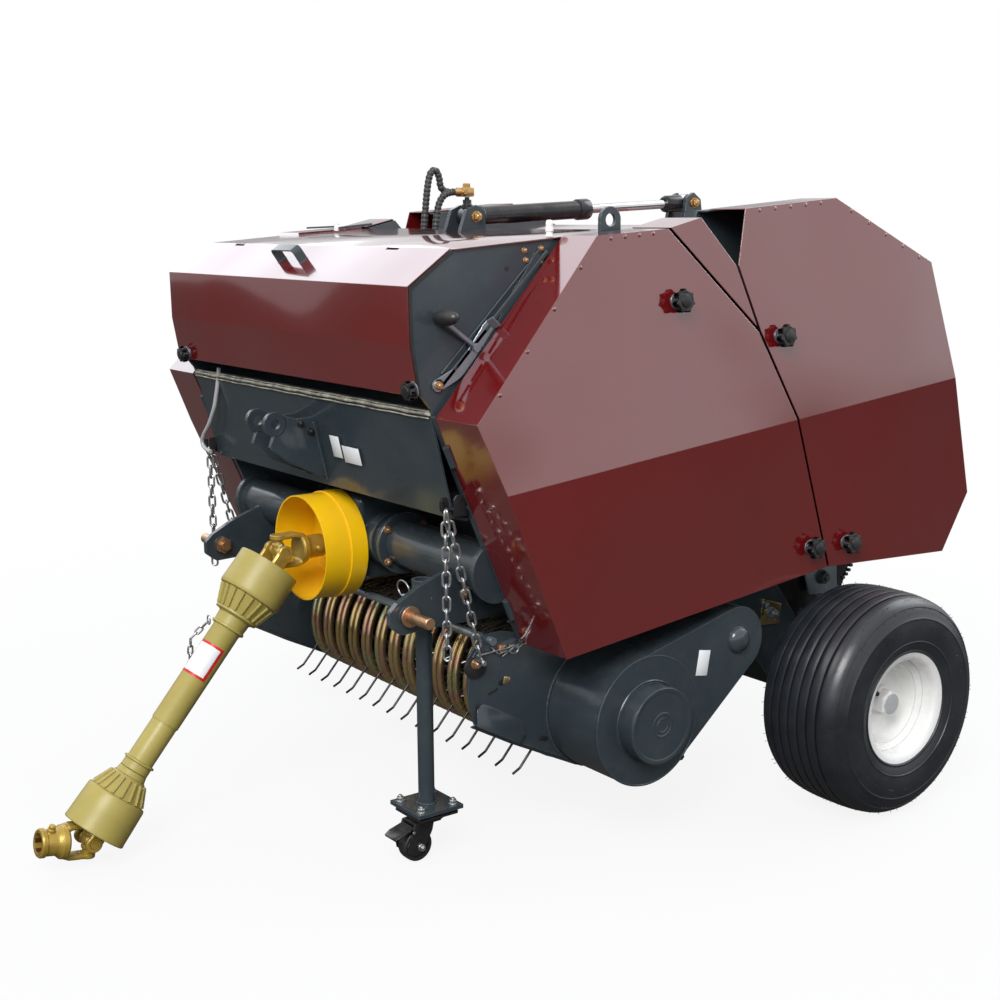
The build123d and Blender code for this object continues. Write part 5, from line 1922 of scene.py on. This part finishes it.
@dataclass
class RoofGear:
    """The small things that lie on the roof, and the twine crank on its side."""

    side_x: float = 474.0
    bearing: Pair = (76.0, 431.0)
    sprocket: Pair = (118.0, 470.0)
    sprocket_radius: float = 58.0

    def sheet(self) -> None:
        """Fold the roof from one sheet and bend the pale twine tube that hangs below the hood."""
        wide = [(-480.9, 1173), (-645.9, 1162), (-875.7, 1144.1), (-875.6, 1142.1), (-645.7, 1160),
            (-480.7, 1171)]
        rear = [(-346, 1132), (-404, 1170), (-481, 1173), (-481, 1171), (-404.6, 1168), (-347.1, 1130.3)]
        form = Form()
        form.upright(wide, 958, (0, 0, 0), 0.3)
        form.upright(rear, 932, (0, 0, 0), 0.3)
        form.make("roof_sheet", "frame", MAROON, replaces=["roof"])
        tube = Form()
        line = [(-356, -921, 882), (-364, -922, 845), (-384, -922, 795), (-418, -920, 755),
            (-455, -917, 727), (-474, -915, 708), (-464, -914, 694), (-436, -912, 689)]
        tube.sweep(rounded_path(line, 12, 6), circle(4.4, 14))
        tube.make("twine_tube_bent", "frame", PALE_TUBE, replaces=["twine_tube"])

    def small_things(self) -> None:
        """Add the white headed bolt, the far lever and its peg."""
        form = Form()
        form.lathe([(0, 0), (7.5, 0), (7.5, 2), (6.2, 2.4), (6.2, 8), (7.4, 9), (7.4, 15), (5.8, 17),
            (6.6, 20), (6.4, 25), (4.5, 28.5), (0, 29.5)], (462, -659, 1162.5), UP, 24)
        form.make("roof_white_bolt", "frame", RIM_WHITE)
        lever = Form()
        lever.plate([(-40, -11), (-26, -14), (44, -9), (52, 0), (44, 9), (-30, 14), (-40, 8)], 5,
            (-380, -560, 1178), (1, 0.35, 0.1), (-0.35, 1, 0), 1.2)
        lever.plate([(-30, -2.5), (36, -4), (36, 4), (-30, 2.5)], 4, (-452, -610, 1176), (0.3, 1, 0.04),
            (-1, 0.3, 0), 0.8)
        lever.make("roof_lever", "frame", SLATE)
        peg = Form()
        peg.lathe([(0, 0), (6, 0), (6, 9), (4.6, 11), (4.6, 17), (0, 18)], (-418, -585, 1168), UP, 20)
        peg.make("roof_peg", "frame", RIM_WHITE)

    def crank(self) -> None:
        """Shape the twine crank: strap, rod, bolts and its oval grip."""
        out, way = self.side_x, (0, 0.7, -0.7)
        form = Form()
        line = [(out + 4, -812, 1004), (out + 4, -840, 968), (out + 4, -872, 934), (out + 4, -914, 915)]
        form.sweep(rounded_path(line, 10, 5), strip(22, 4), hint=way)
        form.lathe([(0, -2), (11, -2), (11, 2), (0, 2)], (out + 4, -914, 915), RIGHT, 28)
        form.sweep([(out + 3, -812, 1004), (out + 4, -803, 1013), (out + 16, -797, 1020)], strip(22, 3.6),
            hint=way)
        form.sweep([(out + 8, -836, 976), (out + 15, -915, 1030)], circle(4.6, 12))
        form.lathe([(0, 0), (7.5, 0), (7.5, 13), (0, 13.5)], (out, -836, 976), RIGHT, 20)
        form.slot = 1
        form.bolt(12, (out + 6, -914, 915), RIGHT, 3)
        form.slot = 2
        form.lathe([(0, -6), (6.5, -5), (10.5, 0), (13.4, 9), (14.2, 20), (13.2, 34), (10.5, 45), (7, 51),
            (3.5, 53.5), (0, 54)], (out + 9, -915, 1030), (1, 0.06, 0.05), 32)
        form.make("twine_crank", "frame", DULL_ZINC, COPPER_ZINC, BLACK_PLASTIC, replaces=["twine_arm"])

    def under_gear(self) -> None:
        """Add what shows below the right covers: bearing bolts and a length of drive chain along the
        sprocket's line.
        """
        form, pale, dark, chain = Form(), Form(), Form(), Form()
        for x in SIGNS:
            dark.upright([(-70, 500), (196, 512), (196, 470), (156, 384), (100, 352), (-10, 340),
                (-70, 430)], 3, (x * 460, 0, 0), 0.8)
            pale.upright([(10, 482), (66, 486), (124, 470), (128, 400), (88, 392), (40, 396)], 4,
                (x * 474.5, 0, 0), 0.8)
            chain.bolt(24, (x * 476.5, *self.bearing), (x, 0, 0), 7)
            for i in range(14):
                a = radians(-62 + 11.5 * i)
                y = self.sprocket[0] + self.sprocket_radius * cos(a)
                z = self.sprocket[1] + self.sprocket_radius * sin(a)
                chain.box((x * 477 - 4, y - 4, z - 3.2), (x * 477 + 4, y + 4, z + 3.2), 0.8)
        pale.make("gate_bearing_plates", "tailgate", DULL_ZINC)
        dark.make("gate_chain_guards", "tailgate", BLACK_PAINT)
        chain.make("gate_bearing_nuts", "tailgate", ROLLER_STEEL)
        brown = Form()
        for x in SIGNS:
            brown.upright([(-118, 356), (-60, 350), (-52, 392), (-108, 412)], 4, (x * 481.5, 0, 0), 0.8)
            form.bolt(19, (x * 483.5, -84, 378), (x, 0, 0), 9)
            form.bolt(13, (x * 483.5, -104, 398), (x, 0, 0), 3)
        brown.make("carrier_plates", "frame", GOLD_ZINC)
        form.make("carrier_bolts", "frame", DULL_ZINC)
        # painted shade: a dark slate sheet across the intake stands for the shade inside it
        shade = Form()
        shade.box((-440, -646, 566), (440, -642, 640), 0.6)
        shade.make("intake_shade_sheet", "frame", SLATE)

    def build(self) -> None:
        """Build the roof's and the crank's pieces."""
        self.sheet()
        self.small_things()
        self.crank()
        self.under_gear()


# ============================== light and camera
@dataclass
class Studio:
    """A plain pale floor, a soft sky and three broad lamps."""

    ambient: float = 0.92
    floor_half: float = 14.0
    aim: Vector = field(default_factory=lambda: Vector((0.0, 0.3, 0.7)))
    lamps: list[tuple[str, Point, float, float, Point]] = field(default_factory=lambda: [
        ("key", (3.4, -3.6, 4.2), 3.2, 290.0, (1.0, 1.0, 1.0)),
        ("fill", (-4.2, 0.3, 3.3), 4.4, 66.0, (0.84, 0.92, 1.0)),
        ("back", (0.5, 4.2, 3.6), 3.4, 105.0, (0.92, 0.96, 1.0)),
    ])

    @staticmethod
    def seen(sheet: NodeSheet) -> tuple[Node, Socket]:
        """Tell the rays seen straight or through glass from the rest.

        Args:
            sheet: the sheet of the sky's or floor's nodes.

        Returns:
            The light path node, and the socket of the share that is seen.
        """
        path = sheet.put("ShaderNodeLightPath")
        return path, sheet.sum_of("MAXIMUM", path.outputs["Is Camera Ray"],
            path.outputs["Is Transmission Ray"])

    def sky(self) -> None:
        """Light the object evenly and show white behind it."""
        world = bpy.data.worlds.new("soft_sky")
        bpy.context.scene.world = world
        sheet = clean_sheet(world)
        path, seen = self.seen(sheet)
        way = sheet.put("ShaderNodeSeparateXYZ", {0: sheet.put("ShaderNodeTexCoord").outputs["Generated"]})
        lift = sheet.spread(way.outputs["Z"], -0.07, 0.02)
        level = sheet.glow((0.94, 0.97, 1.0, 1.0), self.ambient)
        tint = sheet.blend(lift, (0.30, 0.29, 0.28, 1.0), (0.97, 0.98, 1.0, 1.0))
        trees = sheet.sum_of("MULTIPLY", sheet.spread(way.outputs["X"], -0.05, -0.45),
            sheet.spread(way.outputs["Z"], 0.24, 0.12))
        tint = sheet.blend(trees, tint, (0.44, 0.42, 0.43, 1.0))
        mirror = sheet.glow(tint)
        white = sheet.glow((1.0, 1.0, 1.0, 1.0))
        first = sheet.layer(path.outputs["Is Glossy Ray"], level, mirror)
        second = sheet.layer(seen, first, white)
        sheet.put("ShaderNodeOutputWorld", {"Surface": second.outputs[0]})

    def floor(self) -> None:
        """Lay a pale floor that keeps the object's shadow."""
        mesh = bpy.data.meshes.new("studio_floor")
        h = self.floor_half
        mesh.from_pydata([(-h, -h, 0), (h, -h, 0), (h, h, 0), (-h, h, 0)], [], [(0, 1, 2, 3)])
        add_object("studio_floor", mesh)
        made = bpy.data.materials.new("studio_floor_white")
        sheet = clean_sheet(made)
        path, seen = self.seen(sheet)
        ground = sheet.blend(seen, (0.065, 0.06, 0.055, 1.0), (0.60, 0.60, 0.60, 1.0))
        dull = sheet.put("ShaderNodeBsdfDiffuse", {"Color": ground})
        white = sheet.put("ShaderNodeEmission", {"Color": (1.0, 1.0, 1.0, 1.0), "Strength": 1.0})
        away = sheet.put("ShaderNodeVectorMath",
            {0: sheet.put("ShaderNodeNewGeometry").outputs["Position"]}, operation="LENGTH")
        fade = sheet.spread(away.outputs["Value"], 1.4, 3.6, 0.88, 1.0)
        share = sheet.sum_of("ADD", sheet.sum_of("MULTIPLY", seen, fade),
            sheet.sum_of("MULTIPLY", path.outputs["Is Glossy Ray"], 0.03))
        mixed = sheet.layer(share, dull, white)
        sheet.put("ShaderNodeOutputMaterial", {"Surface": mixed.outputs[0]})
        mesh.materials.append(made)

    def light(self) -> None:
        """Hang the lamps, each aimed at the middle of the machine."""
        for name, spot, size, power, colour in self.lamps:
            lamp = bpy.data.lights.new("lamp_" + name, "AREA")
            lamp.shape = "DISK"
            lamp.size = size
            lamp.energy = power
            lamp.color = colour
            holder = add_object("lamp_" + name, lamp)
            holder.location = spot
            holder.rotation_euler = (self.aim - Vector(spot)).to_track_quat("-Z", "Y").to_euler()

    def build(self) -> None:
        """Set up the whole studio."""
        self.sky()
        self.floor()
        self.light()
        bpy.context.scene.view_settings.view_transform = "Standard"
        log.info("studio is lit")


@dataclass
class ShowCamera:
    """The camera at the front and to the right of the machine."""

    spot: Point = (2.5878, -1.76563, 1.1965)
    azimuth: float = 53.4
    elevation: float = 11.3
    roll: float = -0.3
    lens: float = 53.53
    shift: Pair = (-0.0116, 0.0143)

    def build(self) -> None:
        """Create the camera and make it the scene's own."""
        a, e, r = (radians(v) for v in (self.azimuth, self.elevation, self.roll))
        ahead = Vector((-sin(a) * cos(e), cos(a) * cos(e), -sin(e)))
        level = Vector((cos(a), sin(a), 0.0))
        upright = level.cross(ahead)
        right = level * cos(r) + upright * sin(r)
        top = upright * cos(r) - level * sin(r)
        data = bpy.data.cameras.new("show_camera")
        data.sensor_width = 36.0
        data.lens = self.lens
        data.shift_x, data.shift_y = self.shift
        data.clip_end = 100.0
        holder = add_object("show_camera", data)
        turn = Matrix((right, top, -ahead)).transposed().to_4x4()
        holder.matrix_world = Matrix.Translation(Vector(self.spot)) @ turn
        bpy.context.scene.camera = holder
        log.info("camera is set")


def main() -> None:
    """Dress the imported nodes, build the fine pieces, light them and set the camera."""
    logging.basicConfig(level=logging.INFO, format="%(name)s: %(message)s")
    NodeDress().dress()
    for builder in (Covers(), Hood(), FrontFrame(), PickupChains(), Hitch(), PowerShaft(), Pickup(),
            DriveCase(), Stand(), Wheel(), Ram(), RoofGear()):
        builder.build()
    Studio().build()
    ShowCamera().build()


if __name__ == "__main__":
    main()
